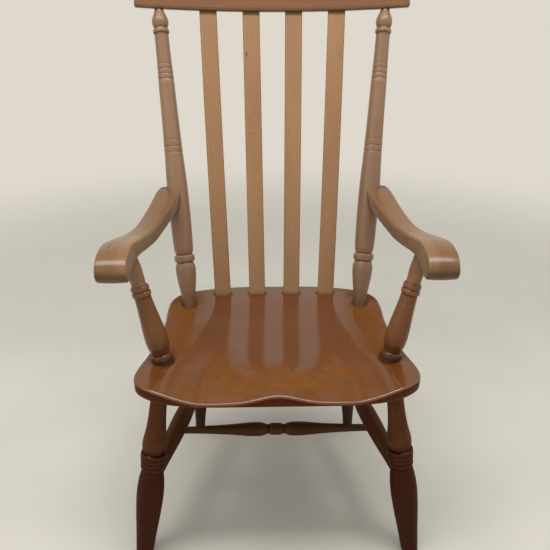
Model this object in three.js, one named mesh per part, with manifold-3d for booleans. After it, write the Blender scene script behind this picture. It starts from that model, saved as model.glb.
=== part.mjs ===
import * as THREE from 'three';
import { mergeVertices } from 'three/addons/utils/BufferGeometryUtils.js';
import Module from 'manifold-3d';

// A lath-back Windsor armchair with a saddled elm seat and turned beech legs.
// Millimetres. X runs across the chair, Y from the front to the back, Z up from the floor.
// While it is built, Y is zero at the middle of the seat's back edge.

const wasm = await Module();
wasm.setup();

// Driving dimensions

const fit = {
  clearance: 0.3, // air left round every tenon, lath, screw and peg
  overrun: 6, // how far a cutter runs past the face that it opens
};

const seat = {
  topHeight: 440,
  thickness: 42,
  width: 530,
  depth: 413,
  edgeFace: 23, // upright band below the top, before the underside is chamfered
  chamfer: 22, // how far the chamfered underside draws in
  arris: 5, // rounding of the top edge
  leastBand: 1, // of the upright edge that the saddle leaves in front
  dishDepth: 17,
};

const frontLeg = {
  swell: 54.5, // greatest diameter
  sideInset: 42, // from the seat's widest line to the leg's axis under the seat
  frontInset: 78,
  splayOut: 61, // how far the foot stands out from the socket
  splayForward: 50,
  socketDepth: 26,
};

const rearLeg = {
  swell: 44,
  sideInset: 97,
  backInset: 108,
  splayOut: 35,
  splayBack: 103,
  socketDepth: 26,
};

const sideStretcher = { frontHeight: 181, rearHeight: 209, swell: 40, socketDepth: 19 };
const crossStretcher = { swell: 31, socketDepth: 14 };

const backPost = {
  swell: 46,
  sideInset: 72,
  backInset: 87,
  seatSocketDepth: 27,
  crestSocketDepth: 30,
};

const crest = {
  rise: 600, // from the seat's top to the lower edge at mid length
  setBack: 140, // of the front face's lower edge behind the seat's back edge
  width: 579,
  height: 88,
  thickness: 23,
  hollow: 30, // how far the ends come forward of the middle
  arris: 3,
  postInset: 49.5, // from the rail's end to the post's axis
  rakeDegrees: 18.5,
};

const lath = {
  width: 37,
  thickness: 9.5,
  arris: 2,
  seatSpacing: 80,
  crestSpacing: 92,
  backInset: 37, // of the two middle laths from the seat's back edge
  sweep: 3, // how much further forward the two outer laths stand
  bow: 9, // how far the laths belly towards the sitter
  seatSocketDepth: 24,
  crestSocketDepth: 26,
};

const arm = {
  rise: 248, // of the rear end's top above the seat's top
  reach: 384, // from the rear end to the scroll's nose
  drop: 52, // from the rear end's top to the scroll's lowest line
  arris: 7, // rounding of the edges behind the scroll
  scrollArris: 4,
  rearWidth: 55,
  waistWidth: 43,
  scrollWidth: 52,
  rearOverlap: 11, // how far the end runs back past the post's axis
  rearOffset: 18.5, // of the end's middle outward from the post's axis
  spread: 43.5, // how far the scroll stands out from the rear end
};

const armSupport = {
  swell: 43,
  baseRing: 38,
  tenon: 24,
  sideInset: 47,
  frontInset: 113,
  seatSocketDepth: 28,
  armSocketDepth: 22,
};

const armScrew = {
  run: 66, // from its head's face to its tip
  shank: 5,
  head: 9,
  headLength: 4,
  tip: 8,
  plug: 10,
  plugLength: 9,
  slot: 1.4,
  slotDepth: 1.2,
};

const crestPeg = { diameter: 7, depth: 18, heightOnRail: 14 };

// Counts of sides round a turned piece

const legSides = 14;
const postSides = 14;
const stretcherSides = 12;
const smallSides = 10;

const sides = [-1, 1]; // left and right of the chair as seen from the front

// Shapes as shares of the sizes above

// Right half of the seat's plan, from the back's middle to the front's middle:
// shares of the half width and of the depth.
const seatPlanShares = [
  [0, 0], [0.365, 0.004], [0.61, 0.03], [0.758, 0.062], [0.85, 0.105], [0.895, 0.165], [0.904, 0.25],
  [0.895, 0.4], [0.912, 0.55], [0.952, 0.69], [0.992, 0.79], [1, 0.845], [0.975, 0.895], [0.895, 0.94],
  [0.76, 0.976], [0.57, 0.996], [0.3, 1], [0, 1],
];

// The saddle: shares of the half width where the hollow starts to rise and where it ends, shares
// of the depth where it starts at the back and where it widens for the thighs, and the ridge
// between them, which is narrow in front and flares towards the back.
const saddleSideShares = { inner: 0.34, innerInFront: 0.5, outer: 0.84 };
const saddleBackShares = { start: 0.12, full: 0.42 };
const saddleFrontShares = { start: 0.55, full: 0.9 };
const pommelShares = {
  width: 0.19, flare: 0.33, flareStart: 0.6, flareEnd: 0.95, start: 0.7, full: 0.99, keep: 0.97,
};
const seatRingShares = [0.12, 0.28, 0.44, 0.6, 0.74, 0.86, 0.94];
const seatArrisShares = [0.33, 0.67, 1]; // of the quarter turn round the top edge

// A bead between two shares of the length: its flat crown takes beadCrownShare of its width.
const beadCrownShare = 0.4;

function bead(startShare, endShare, crownShare, rootShare) {
  const middleShare = (startShare + endShare) / 2;
  const reachShare = (endShare - startShare) * beadCrownShare / 2;
  return [
    [startShare, rootShare],
    [middleShare - reachShare, crownShare],
    [middleShare + reachShare, crownShare],
    [endShare, rootShare],
  ];
}

// Turnings: shares of the length from the lower end, and of the greatest diameter.
const frontLegShares = [
  [0, 0.63], [0.08, 0.71], [0.16, 0.79], [0.26, 0.91], [0.33, 0.97], [0.39, 1], [0.45, 0.975],
  [0.5, 0.9], [0.54, 0.8], [0.557, 0.76],
  ...bead(0.562, 0.583, 0.88, 0.8), ...bead(0.586, 0.608, 0.9, 0.8), ...bead(0.612, 0.651, 0.94, 0.8),
  [0.656, 0.77], [0.668, 0.83], [0.692, 0.885], [0.725, 0.85], [0.76, 0.76], [0.8, 0.685],
  [0.86, 0.62], [1, 0.56],
];
const rearLegShares = [
  [0, 0.56], [0.12, 0.61], [0.25, 0.74], [0.38, 0.91], [0.48, 1], [0.58, 0.98], [0.7, 0.88],
  [0.85, 0.76], [1, 0.69],
];
const sideStretcherShares = [
  [0, 0.68], [0.09, 0.69], [0.18, 0.75], [0.29, 0.86], [0.4, 0.95], [0.52, 1], [0.64, 0.96],
  [0.76, 0.82], [0.87, 0.6], [0.93, 0.46], [1, 0.44],
];
const crossStretcherShares = [
  [0, 0.5], [0.06, 0.5], [0.15, 0.57], [0.27, 0.75], [0.35, 0.95], [0.39, 1], [0.43, 0.93],
  [0.458, 0.66], ...bead(0.468, 0.532, 0.86, 0.62), [0.542, 0.66], [0.57, 0.93], [0.61, 1],
  [0.65, 0.95], [0.73, 0.75], [0.85, 0.57], [0.94, 0.5], [1, 0.5],
];
const backPostShares = [
  [0, 0.61], [0.03, 0.66], [0.075, 0.85], [0.113, 0.965], [0.132, 0.965], [0.146, 0.87],
  [0.151, 0.8], ...bead(0.154, 0.176, 0.985, 0.8), [0.179, 0.78], [0.184, 0.84], [0.2, 0.92],
  [0.26, 0.975], [0.34, 1], [0.42, 0.975], [0.49, 0.9], [0.524, 0.862],
  ...bead(0.528, 0.546, 0.86, 0.8), ...bead(0.549, 0.567, 0.85, 0.79), [0.571, 0.83],
  [0.66, 0.775], [0.765, 0.735], ...bead(0.769, 0.783, 0.73, 0.67), ...bead(0.786, 0.8, 0.71, 0.655),
  ...bead(0.803, 0.817, 0.7, 0.64), [0.822, 0.675], [0.87, 0.655], [0.913, 0.645],
  ...bead(0.917, 0.929, 0.75, 0.6), [0.934, 0.585], [0.942, 0.68], [0.955, 0.75], [0.968, 0.715],
  [0.982, 0.53], [0.992, 0.39], [1, 0.36],
];
const armSupportShares = [
  [0, 0.84], [0.012, 0.88], [0.04, 0.88], [0.056, 0.84], [0.062, 0.77], [0.09, 0.84], [0.14, 0.95],
  [0.2, 1], [0.28, 0.975], [0.4, 0.87], [0.52, 0.77], [0.61, 0.72],
  ...bead(0.62, 0.66, 0.83, 0.7), ...bead(0.67, 0.71, 0.8, 0.68), [0.73, 0.62], [0.78, 0.65],
  [0.86, 0.67], [0.94, 0.62], [1, 0.56],
];

// The arm from the side, as a closed outline: shares of the length from the post and of the drop.
const armSideShares = [
  [0, 0.98], [0.06, 1], [0.14, 0.925], [0.25, 0.793], [0.38, 0.673], [0.505, 0.633], [0.62, 0.69],
  [0.72, 0.816], [0.81, 0.908], [0.89, 0.897], [0.945, 0.77], [0.985, 0.56], [1, 0.33], [0.985, 0.12],
  [0.955, 0.02], [0.92, 0], [0.888, 0.05], [0.855, 0.14], [0.79, 0.22], [0.72, 0.18], [0.62, 0.08],
  [0.505, 0.01], [0.38, 0.05], [0.25, 0.175], [0.12, 0.3], [0.02, 0.37], [0, 0.4],
];
// The arm's middle line from above: shares of the length, and of the spread outward.
const armPlanShares = [
  [0, -0.12], [0.05, -0.03], [0.12, 0.02], [0.25, 0.17], [0.38, 0.34], [0.5, 0.48], [0.6, 0.66],
  [0.7, 0.87], [0.8, 1], [0.9, 1], [1, 0.98],
];
const armWidthShares = { waist: 0.5, scroll: 0.8, rearTaper: 0.12, rearTaperKeep: 0.72 };
const armArrisShares = { start: 0.6, full: 0.86 }; // of the length, where the edges grow crisper
const armLayerShares = [0, 0.3, 1]; // of the arris, where the rounded edge has its rings
const armRootShare = 0.28; // of the drop, where the post's axis is taken for the arm
const armSupportPlaceShare = 0.7; // of the arm's length, where the support enters it
const armSupportTopShare = 0.17; // of the drop, at the arm's underside over the support
const armScrewAimShare = 0.2; // of the arm's length, the point that the screw is aimed at

// The crest rail: shares of its half width and of its height along the top edge.
const crestTopShares = [
  [0, 1], [0.3, 0.985], [0.55, 0.94], [0.75, 0.87], [0.88, 0.79], [0.955, 0.69], [0.99, 0.52], [1, 0.36],
];
const crestLowShares = [[0, 0], [0.95, 0], [0.99, 0.05], [1, 0.13]];
const crestStationShares = [0, 0.14, 0.28, 0.42, 0.56, 0.68, 0.79, 0.88, 0.945, 0.98, 1];

const crossStretcherPlaceShare = 0.46; // of the side stretcher, from the front
const lathPlaceShares = [-1.5, -0.5, 0.5, 1.5]; // of the laths' spacing, from the middle
const lathStations = 6;
const seatOutlineCount = 60;
const armOutlineCount = 40;

// Places worked out from the sizes

const half = 0.5;
const seatUnderside = seat.topHeight - seat.thickness;
const rake = THREE.MathUtils.degToRad(crest.rakeDegrees);
const up = new THREE.Vector3(0, 1, 0);

function at(x, y, z) {
  return new THREE.Vector3(x, y, z);
}

function between(a, b, share) {
  return a.clone().lerp(b, share);
}

// Value of a table of pairs at a share, along a smooth curve through them.
function follow(table, share) {
  const last = table.length - 1;
  let i = 0;
  while (i < last - 1 && share > table[i + 1][0]) i += 1;
  const [x0, y0] = table[i];
  const [x1, y1] = table[i + 1];
  const before = table[Math.max(i - 1, 0)];
  const after = table[Math.min(i + 2, last)];
  const slope0 = (y1 - before[1]) / (x1 - before[0]);
  const slope1 = (after[1] - y0) / (after[0] - x0);
  const span = x1 - x0;
  const t = THREE.MathUtils.clamp((share - x0) / span, 0, 1);
  const t2 = t * t;
  const t3 = t2 * t;
  return (2 * t3 - 3 * t2 + 1) * y0 + (t3 - 2 * t2 + t) * span * slope0
    + (3 * t2 - 2 * t3) * y1 + (t3 - t2) * span * slope1;
}

// The crest rail is bent to a circle whose centre lies in front of it, and tilted back by its rake.
const crestHalf = crest.width * half;
const crestRadius = (crestHalf ** 2 + crest.hollow ** 2) / (2 * crest.hollow);

function crestPoint(across, thicknessShare, height) {
  const angle = Math.asin(across / crestRadius);
  const radius = crestRadius + crest.thickness * thicknessShare;
  const local = at(radius * Math.sin(angle), radius * Math.cos(angle) - crestRadius, height);
  local.applyAxisAngle(at(1, 0, 0), -rake);
  return local.add(at(0, crest.setBack, seat.topHeight + crest.rise));
}

// Axes of the turned pieces. side is 1 on the right of the drawing and -1 on the left.

function frontLegAxis(side) {
  const x = seat.width * half - frontLeg.sideInset;
  const y = frontLeg.frontInset - seat.depth;
  return {
    low: at(side * (x + frontLeg.splayOut), y - frontLeg.splayForward, 0),
    high: at(side * x, y, seatUnderside),
  };
}

function rearLegAxis(side) {
  const x = seat.width * half - rearLeg.sideInset;
  return {
    low: at(side * (x + rearLeg.splayOut), rearLeg.splayBack - rearLeg.backInset, 0),
    high: at(side * x, -rearLeg.backInset, seatUnderside),
  };
}

function legPoint(axis, height) {
  return between(axis.low, axis.high, height / seatUnderside);
}

function sideStretcherAxis(side) {
  return {
    low: legPoint(frontLegAxis(side), sideStretcher.frontHeight),
    high: legPoint(rearLegAxis(side), sideStretcher.rearHeight),
  };
}

function crossStretcherEnd(side) {
  const axis = sideStretcherAxis(side);
  return between(axis.low, axis.high, crossStretcherPlaceShare);
}

function backPostAxis(side) {
  return {
    low: at(side * (seat.width * half - backPost.sideInset), -backPost.backInset, seat.topHeight),
    high: crestPoint(side * (crestHalf - crest.postInset), half, 0),
  };
}

// The point of the post's axis that lies level with the middle of the arm's rear end.
function armRoot(side) {
  const axis = backPostAxis(side);
  const height = arm.rise - arm.drop * armRootShare;
  return between(axis.low, axis.high, height / (axis.high.z - axis.low.z));
}

// Points of the arm: along is a share of its length from the post end.
function armMiddle(side, along) {
  const root = armRoot(side);
  const out = arm.rearOffset + arm.spread * follow(armPlanShares, along);
  return { x: root.x + side * out, y: root.y + arm.rearOverlap - arm.reach * along };
}

function armWidth(along) {
  const { waist, scroll, rearTaper, rearTaperKeep } = armWidthShares;
  const toWaist = THREE.MathUtils.smoothstep(along, 0, waist);
  const toScroll = THREE.MathUtils.smoothstep(along, waist, scroll);
  const width = THREE.MathUtils.lerp(arm.rearWidth, arm.waistWidth, toWaist)
    + (arm.scrollWidth - arm.waistWidth) * toScroll;
  const rear = THREE.MathUtils.smoothstep(along, -rearTaper, rearTaper);
  return width * (rearTaperKeep + (1 - rearTaperKeep) * rear);
}

function armArris(along) {
  const toScroll = THREE.MathUtils.smoothstep(along, armArrisShares.start, armArrisShares.full);
  return THREE.MathUtils.lerp(arm.arris, arm.scrollArris, toScroll);
}

function armHeight(dropShare) {
  return seat.topHeight + arm.rise - arm.drop * (1 - dropShare);
}

function armSupportAxis(side) {
  const middle = armMiddle(side, armSupportPlaceShare);
  const x = side * (seat.width * half - armSupport.sideInset);
  return {
    low: at(x, armSupport.frontInset - seat.depth, seat.topHeight),
    high: at(middle.x, middle.y, armHeight(armSupportTopShare)),
  };
}

// Solids

function solidFrom(geometry) {
  geometry.deleteAttribute('normal');
  geometry.deleteAttribute('uv');
  const merged = mergeVertices(geometry);
  const mesh = new wasm.Mesh({
    numProp: 3,
    vertProperties: new Float32Array(merged.attributes.position.array),
    triVerts: new Uint32Array(merged.index.array),
  });
  return new wasm.Manifold(mesh);
}

function geometryFrom(solid) {
  const mesh = solid.getMesh();
  const geometry = new THREE.BufferGeometry();
  const points = new Float32Array(mesh.vertProperties);
  geometry.setAttribute('position', new THREE.BufferAttribute(points, mesh.numProp));
  geometry.setIndex(new THREE.BufferAttribute(new Uint32Array(mesh.triVerts), 1));
  geometry.computeVertexNormals();
  return geometry;
}

// Closed body through rings of points with equal counts. A ring's faces look outwards when it
// turns anticlockwise seen from the last ring; a body built the other way round is turned over.
function loft(rings) {
  const count = rings[0].length;
  const positions = rings.flat().flatMap((point) => point.toArray());
  const index = [];
  for (let r = 0; r < rings.length - 1; r += 1) {
    for (let i = 0; i < count; i += 1) {
      const a = r * count + i;
      const b = r * count + (i + 1) % count;
      index.push(a, b, b + count, a, b + count, a + count);
    }
  }
  const last = (rings.length - 1) * count;
  for (const [a, b, c] of capFaces(rings[0])) index.push(a, c, b);
  for (const [a, b, c] of capFaces(rings.at(-1))) index.push(last + a, last + b, last + c);
  const geometry = new THREE.BufferGeometry();
  geometry.setAttribute('position', new THREE.Float32BufferAttribute(positions, 3));
  geometry.setIndex(index);
  if (volume(geometry) < 0) turnOver(geometry);
  return solidFrom(geometry);
}

// Triangles that close a flat or nearly flat ring, found in the plane where it looks widest.
function capFaces(ring) {
  const normal = at(0, 0, 0);
  ring.forEach((point, i) => normal.add(point.clone().cross(ring[(i + 1) % ring.length])));
  normal.normalize();
  const turn = new THREE.Quaternion().setFromUnitVectors(normal, at(0, 0, 1));
  const flat = ring.map((point) => point.clone().applyQuaternion(turn));
  return THREE.ShapeUtils.triangulateShape(flat.map((p) => new THREE.Vector2(p.x, p.y)), []);
}

function volume(geometry) {
  const { position } = geometry.attributes;
  const index = geometry.index.array;
  const corner = [at(0, 0, 0), at(0, 0, 0), at(0, 0, 0)];
  let total = 0;
  for (let i = 0; i < index.length; i += 3) {
    corner.forEach((point, k) => point.fromBufferAttribute(position, index[i + k]));
    total += corner[0].dot(corner[1].clone().cross(corner[2]));
  }
  return total;
}

function turnOver(geometry) {
  const index = geometry.index.array;
  for (let i = 0; i < index.length; i += 3) {
    [index[i + 1], index[i + 2]] = [index[i + 2], index[i + 1]];
  }
}

// Turned body on the line from low to high. The profile holds pairs of distance along the line
// and diameter, and grow is added all round for the socket that the body fits.
function turned(low, high, profile, sides, grow = 0) {
  const points = profile.map(([along, diameter]) => new THREE.Vector2(diameter * half + grow, along));
  const [first] = points;
  const last = points.at(-1);
  first.y -= grow;
  last.y += grow;
  const outline = [new THREE.Vector2(0, first.y), ...points, new THREE.Vector2(0, last.y)];
  const geometry = new THREE.LatheGeometry(outline, sides);
  const axis = high.clone().sub(low).normalize();
  geometry.applyQuaternion(new THREE.Quaternion().setFromUnitVectors(up, axis));
  geometry.translate(low.x, low.y, low.z);
  return solidFrom(geometry);
}

// Profile of a turning with a plain tenon at each end that has one.
function turning(shares, length, swell, lowTenon, highTenon) {
  const profile = shares.map(([along, width]) => [along * length, width * swell]);
  if (lowTenon > 0) profile.unshift([-lowTenon, profile[0][1]]);
  if (highTenon > 0) profile.push([length + highTenon, profile.at(-1)[1]]);
  return profile;
}

function boxSolid(low, high) {
  const size = high.clone().sub(low);
  const geometry = new THREE.BoxGeometry(size.x, size.y, size.z);
  const middle = between(low, high, half);
  geometry.translate(middle.x, middle.y, middle.z);
  return solidFrom(geometry);
}

function cut(solid, ...cutters) {
  return cutters.reduce((rest, cutter) => rest.subtract(cutter), solid);
}

// Outline points moved inwards along their normals in the plane, each by its own distance.
function insetEach(points, distances) {
  return points.map((point, i) => {
    const before = points[(i + points.length - 1) % points.length];
    const after = points[(i + 1) % points.length];
    const along = after.clone().sub(before).normalize();
    const step = distances[i];
    return new THREE.Vector2(point.x - along.y * step, point.y + along.x * step);
  });
}

function inset(points, distance) {
  return insetEach(points, points.map(() => distance));
}

// The closed smooth curve through a list of plane points, as evenly spaced points that run
// anticlockwise.
function smoothOutline(points, count) {
  const curve = new THREE.CatmullRomCurve3(points.map((p) => at(p.x, p.y, 0)), true, 'centripetal');
  const outline = curve.getSpacedPoints(count).slice(0, count).map((p) => new THREE.Vector2(p.x, p.y));
  return THREE.ShapeUtils.isClockWise(outline) ? outline.reverse() : outline;
}

// Seat

function seatOutline() {
  const right = seatPlanShares.map(([across, along]) => (
    new THREE.Vector2(across * seat.width * half, -along * seat.depth)));
  const left = right.slice(1, -1).map((p) => new THREE.Vector2(-p.x, p.y)).reverse();
  return smoothOutline([...right, ...left], seatOutlineCount);
}

// How far the saddled top lies below the plank's face.
function saddle(x, y) {
  const across = Math.abs(x) / (seat.width * half);
  const along = -y / seat.depth;
  const { smoothstep, lerp } = THREE.MathUtils;
  const widening = smoothstep(along, saddleFrontShares.start, saddleFrontShares.full);
  const inner = lerp(saddleSideShares.inner, saddleSideShares.innerInFront, widening);
  const side = 1 - smoothstep(across, inner, saddleSideShares.outer);
  const back = smoothstep(along, saddleBackShares.start, saddleBackShares.full);
  const narrowing = smoothstep(along, pommelShares.flareStart, pommelShares.flareEnd);
  const ridgeWidth = lerp(pommelShares.flare, pommelShares.width, narrowing);
  const ridge = Math.exp(-((across / ridgeWidth) ** 2))
    * smoothstep(along, pommelShares.start, pommelShares.full);
  return seat.dishDepth * side * back * (1 - pommelShares.keep * ridge);
}

function seatBlank() {
  const outline = seatOutline();
  const topOutline = inset(outline, seat.arris);
  const middle = new THREE.Vector2(0, -seat.depth * half);
  const onTop = (p) => at(p.x, p.y, seat.topHeight - saddle(p.x, p.y));
  const rings = seatRingShares.map((share) => (
    topOutline.map((p) => onTop(middle.clone().lerp(p, share)))));
  rings.push(topOutline.map(onTop));
  const deepest = seat.edgeFace - seat.arris - seat.leastBand;
  for (const share of seatArrisShares) {
    const angle = share * Math.PI * half;
    const drawn = inset(outline, seat.arris * (1 - Math.sin(angle)));
    const lower = seat.arris * (1 - Math.cos(angle));
    rings.push(drawn.map((p, i) => {
      const fall = Math.min(saddle(topOutline[i].x, topOutline[i].y), deepest);
      return at(p.x, p.y, seat.topHeight - fall - lower);
    }));
  }
  const bandBottom = seat.topHeight - seat.edgeFace;
  rings.push(outline.map((p) => at(p.x, p.y, bandBottom)));
  rings.push(inset(outline, seat.chamfer).map((p) => at(p.x, p.y, seatUnderside)));
  return loft(rings);
}

function makeSeat() {
  const sockets = sides.flatMap((side) => [
    frontLegSolid(side, fit.clearance),
    rearLegSolid(side, fit.clearance),
    backPostSolid(side, fit.clearance),
    armSupportTenon(side, fit.clearance),
  ]);
  const slots = lathPlaceShares.map((place) => lathSolid(place, fit.clearance));
  return cut(seatBlank(), ...sockets, ...slots);
}

// Legs

// Everything below the floor, which levels the splayed feet.
function belowFloor(axis) {
  const reach = frontLeg.swell;
  const low = at(axis.low.x - reach, axis.low.y - reach, -reach);
  return boxSolid(low, at(axis.low.x + reach, axis.low.y + reach, 0));
}

function legBody(axis, shares, size, grow) {
  const length = axis.low.distanceTo(axis.high);
  const profile = turning(shares, length, size.swell, 0, size.socketDepth);
  profile.unshift([-size.swell * half, profile[0][1]]);
  return turned(axis.low, axis.high, profile, legSides, grow).subtract(belowFloor(axis));
}

function frontLegSolid(side, grow = 0) {
  return legBody(frontLegAxis(side), frontLegShares, frontLeg, grow);
}

function rearLegSolid(side, grow = 0) {
  return legBody(rearLegAxis(side), rearLegShares, rearLeg, grow);
}

function makeFrontLeg(side) {
  return cut(frontLegSolid(side), sideStretcherSolid(side, fit.clearance));
}

function makeRearLeg(side) {
  return cut(rearLegSolid(side), sideStretcherSolid(side, fit.clearance));
}

// Stretchers

// Diameter of a turning at a share of its length.
function diameterAt(shares, size, share) {
  return size.swell * follow(shares, share);
}

// A rail that ends inside the two round pieces that it joins, each end at its socket's depth.
function railBetween(low, high, lowRadius, highRadius, shares, size, grow) {
  const axis = high.clone().sub(low).normalize();
  const start = low.clone().addScaledVector(axis, lowRadius - size.socketDepth);
  const end = high.clone().addScaledVector(axis, size.socketDepth - highRadius);
  const profile = turning(shares, start.distanceTo(end), size.swell, 0, 0);
  return turned(start, end, profile, stretcherSides, grow);
}

function sideStretcherSolid(side, grow = 0) {
  const axis = sideStretcherAxis(side);
  const frontShare = sideStretcher.frontHeight / seatUnderside;
  const rearShare = sideStretcher.rearHeight / seatUnderside;
  const frontRadius = diameterAt(frontLegShares, frontLeg, frontShare) * half;
  const rearRadius = diameterAt(rearLegShares, rearLeg, rearShare) * half;
  const { low, high } = axis;
  return railBetween(low, high, frontRadius, rearRadius, sideStretcherShares, sideStretcher, grow);
}

function crossStretcherSolid(grow = 0) {
  const radius = diameterAt(sideStretcherShares, sideStretcher, crossStretcherPlaceShare) * half;
  const ends = sides.map(crossStretcherEnd);
  return railBetween(ends[0], ends[1], radius, radius, crossStretcherShares, crossStretcher, grow);
}

function makeSideStretcher(side) {
  return cut(sideStretcherSolid(side), crossStretcherSolid(fit.clearance));
}

// Back posts

function backPostSolid(side, grow = 0) {
  const axis = backPostAxis(side);
  const length = axis.low.distanceTo(axis.high);
  const profile = turning(backPostShares, length, backPost.swell, backPost.seatSocketDepth, 0);
  profile.push([length + backPost.crestSocketDepth, profile.at(-1)[1]]);
  return turned(axis.low, axis.high, profile, postSides, grow);
}

function makeBackPost(side) {
  return cut(backPostSolid(side), armScrewHole(side), crestPegSolid(side, fit.clearance));
}

// Crest rail

function crestRing(across) {
  const share = Math.abs(across) / crestHalf;
  const low = crest.height * follow(crestLowShares, share);
  const high = crest.height * follow(crestTopShares, share);
  const softShare = crest.arris / crest.thickness;
  const corners = [
    [softShare, low], [1 - softShare, low], [1, low + crest.arris], [1, high - crest.arris],
    [1 - softShare, high], [softShare, high], [0, high - crest.arris], [0, low + crest.arris],
  ];
  return corners.map(([thicknessShare, height]) => crestPoint(across, thicknessShare, height));
}

function makeCrest() {
  const right = crestStationShares.map((share) => share * crestHalf);
  const stations = [...right.slice(1).reverse().map((x) => -x), ...right];
  const posts = sides.map((side) => backPostSolid(side, fit.clearance));
  const pegs = sides.map((side) => crestPegSolid(side, fit.clearance));
  const slots = lathPlaceShares.map((place) => lathSolid(place, fit.clearance));
  return cut(loft(stations.map(crestRing)), ...posts, ...pegs, ...slots);
}

function crestPegSolid(side, grow = 0) {
  const across = side * (crestHalf - crest.postInset);
  const back = crestPoint(across, 1, crestPeg.heightOnRail);
  const front = crestPoint(across, 0, crestPeg.heightOnRail);
  const inward = front.clone().sub(back).normalize();
  const tip = back.clone().addScaledVector(inward, crestPeg.depth);
  const profile = [[0, crestPeg.diameter], [crestPeg.depth, crestPeg.diameter]];
  return turned(back, tip, profile, smallSides, grow);
}

// Laths

function lathEnds(place) {
  const outermost = lathPlaceShares.at(-1);
  const outerShare = (Math.abs(place) - half) / (outermost - half);
  const low = at(place * lath.seatSpacing, -lath.backInset - lath.sweep * outerShare, seat.topHeight);
  const high = crestPoint(place * lath.crestSpacing, half, 0);
  return { low, high };
}

// A lath with both its ends in their sockets, as rings across a gently bowed line.
function lathSolid(place, grow = 0) {
  const { low, high } = lathEnds(place);
  const length = low.distanceTo(high);
  const angle = Math.asin(place * lath.crestSpacing / crestRadius);
  const across = at(Math.cos(angle), -Math.sin(angle), 0);
  const onLine = (share) => {
    const belly = Math.sin(Math.PI * THREE.MathUtils.clamp(share, 0, 1));
    return between(low, high, share).add(at(0, -lath.bow * belly, 0));
  };
  const first = -(lath.seatSocketDepth + grow) / length;
  const last = 1 + (lath.crestSocketDepth + grow) / length;
  const stations = [first];
  for (let i = 0; i <= lathStations; i += 1) stations.push(i / lathStations);
  stations.push(last);
  const halfWidth = lath.width * half + grow;
  const halfThickness = lath.thickness * half + grow;
  const corners = [
    [halfWidth - lath.arris, -halfThickness], [halfWidth, lath.arris - halfThickness],
    [halfWidth, halfThickness - lath.arris], [halfWidth - lath.arris, halfThickness],
    [lath.arris - halfWidth, halfThickness], [-halfWidth, halfThickness - lath.arris],
    [-halfWidth, lath.arris - halfThickness], [lath.arris - halfWidth, -halfThickness],
  ];
  const rings = stations.map((share, i) => {
    const before = onLine(stations[Math.max(i - 1, 0)]);
    const after = onLine(stations[Math.min(i + 1, stations.length - 1)]);
    const along = after.sub(before).normalize();
    const through = along.clone().cross(across).normalize();
    const wide = through.clone().cross(along).normalize();
    return corners.map(([w, t]) => (
      onLine(share).addScaledVector(wide, w).addScaledVector(through, t)));
  });
  return loft(rings);
}

// Arms

function armBlank(side) {
  const points = armSideShares.map(([along, height]) => (
    new THREE.Vector2(along * arm.reach, height * arm.drop)));
  const outline = smoothOutline(points, armOutlineCount);
  const edges = outline.map((p) => armArris(p.x / arm.reach));
  const layer = (offsetShare, edge) => {
    const turn = offsetShare * Math.PI * half;
    const drawn = insetEach(outline, edges.map((arris) => arris * (1 - Math.sin(turn))));
    return drawn.map((p, i) => {
      const gap = edges[i] * (1 - Math.cos(turn));
      const along = p.x / arm.reach;
      const middle = armMiddle(side, along);
      const x = middle.x + edge * (armWidth(along) * half - gap);
      return at(x, middle.y, armHeight(p.y / arm.drop));
    });
  };
  const inner = armLayerShares.map((share) => layer(share, -side));
  const outer = armLayerShares.map((share) => layer(share, side)).reverse();
  return loft([...inner, ...outer]);
}

function makeArm(side) {
  return cut(
    armBlank(side),
    backPostSolid(side, fit.clearance),
    armSupportSolid(side, fit.clearance),
    armScrewSolid(side, fit.clearance),
  );
}

// Arm supports

function armSupportProfile() {
  const axis = armSupportAxis(1);
  const length = axis.low.distanceTo(axis.high);
  const profile = turning(armSupportShares, length, armSupport.swell, 0, armSupport.armSocketDepth);
  profile.unshift([-armSupport.baseRing * half, armSupport.baseRing]);
  return profile;
}

function armSupportTenon(side, grow = 0) {
  const axis = armSupportAxis(side);
  const down = axis.low.clone().sub(axis.high).normalize();
  const foot = axis.low.clone().addScaledVector(down, armSupport.seatSocketDepth);
  const reach = armSupport.seatSocketDepth + fit.overrun;
  const profile = [[0, armSupport.tenon], [reach, armSupport.tenon]];
  return turned(foot, axis.high, profile, stretcherSides, grow);
}

// The base ring is scribed level with the seat, and its tenon goes on down into the seat.
function armSupportSolid(side, grow = 0) {
  const axis = armSupportAxis(side);
  const body = turned(axis.low, axis.high, armSupportProfile(), stretcherSides, grow);
  const reach = armSupport.baseRing;
  const low = at(axis.low.x - reach, axis.low.y - reach, seat.topHeight - reach);
  const high = at(axis.low.x + reach, axis.low.y + reach, seat.topHeight + fit.clearance);
  return body.subtract(boxSolid(low, high)).add(armSupportTenon(side, grow));
}

// Screws that hold the arms, driven through the posts from behind, and their wooden plugs

function armScrewLine(side) {
  const root = armRoot(side);
  const target = armMiddle(side, armScrewAimShare);
  const direction = at(target.x - root.x, target.y - root.y, 0).normalize();
  const mouth = root.clone().addScaledVector(direction, -backPost.swell * half);
  const seatOfHead = mouth.clone().addScaledVector(direction, armScrew.plugLength);
  return { mouth, seatOfHead, direction };
}

function armScrewSolid(side, grow = 0) {
  const { seatOfHead, direction } = armScrewLine(side);
  const start = seatOfHead.clone().addScaledVector(direction, fit.clearance);
  const end = start.clone().addScaledVector(direction, armScrew.run);
  const profile = [
    [0, armScrew.head], [armScrew.headLength, armScrew.shank],
    [armScrew.run - armScrew.tip, armScrew.shank], [armScrew.run, armScrew.shank * half],
  ];
  return turned(start, end, profile, smallSides, grow);
}

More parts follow.
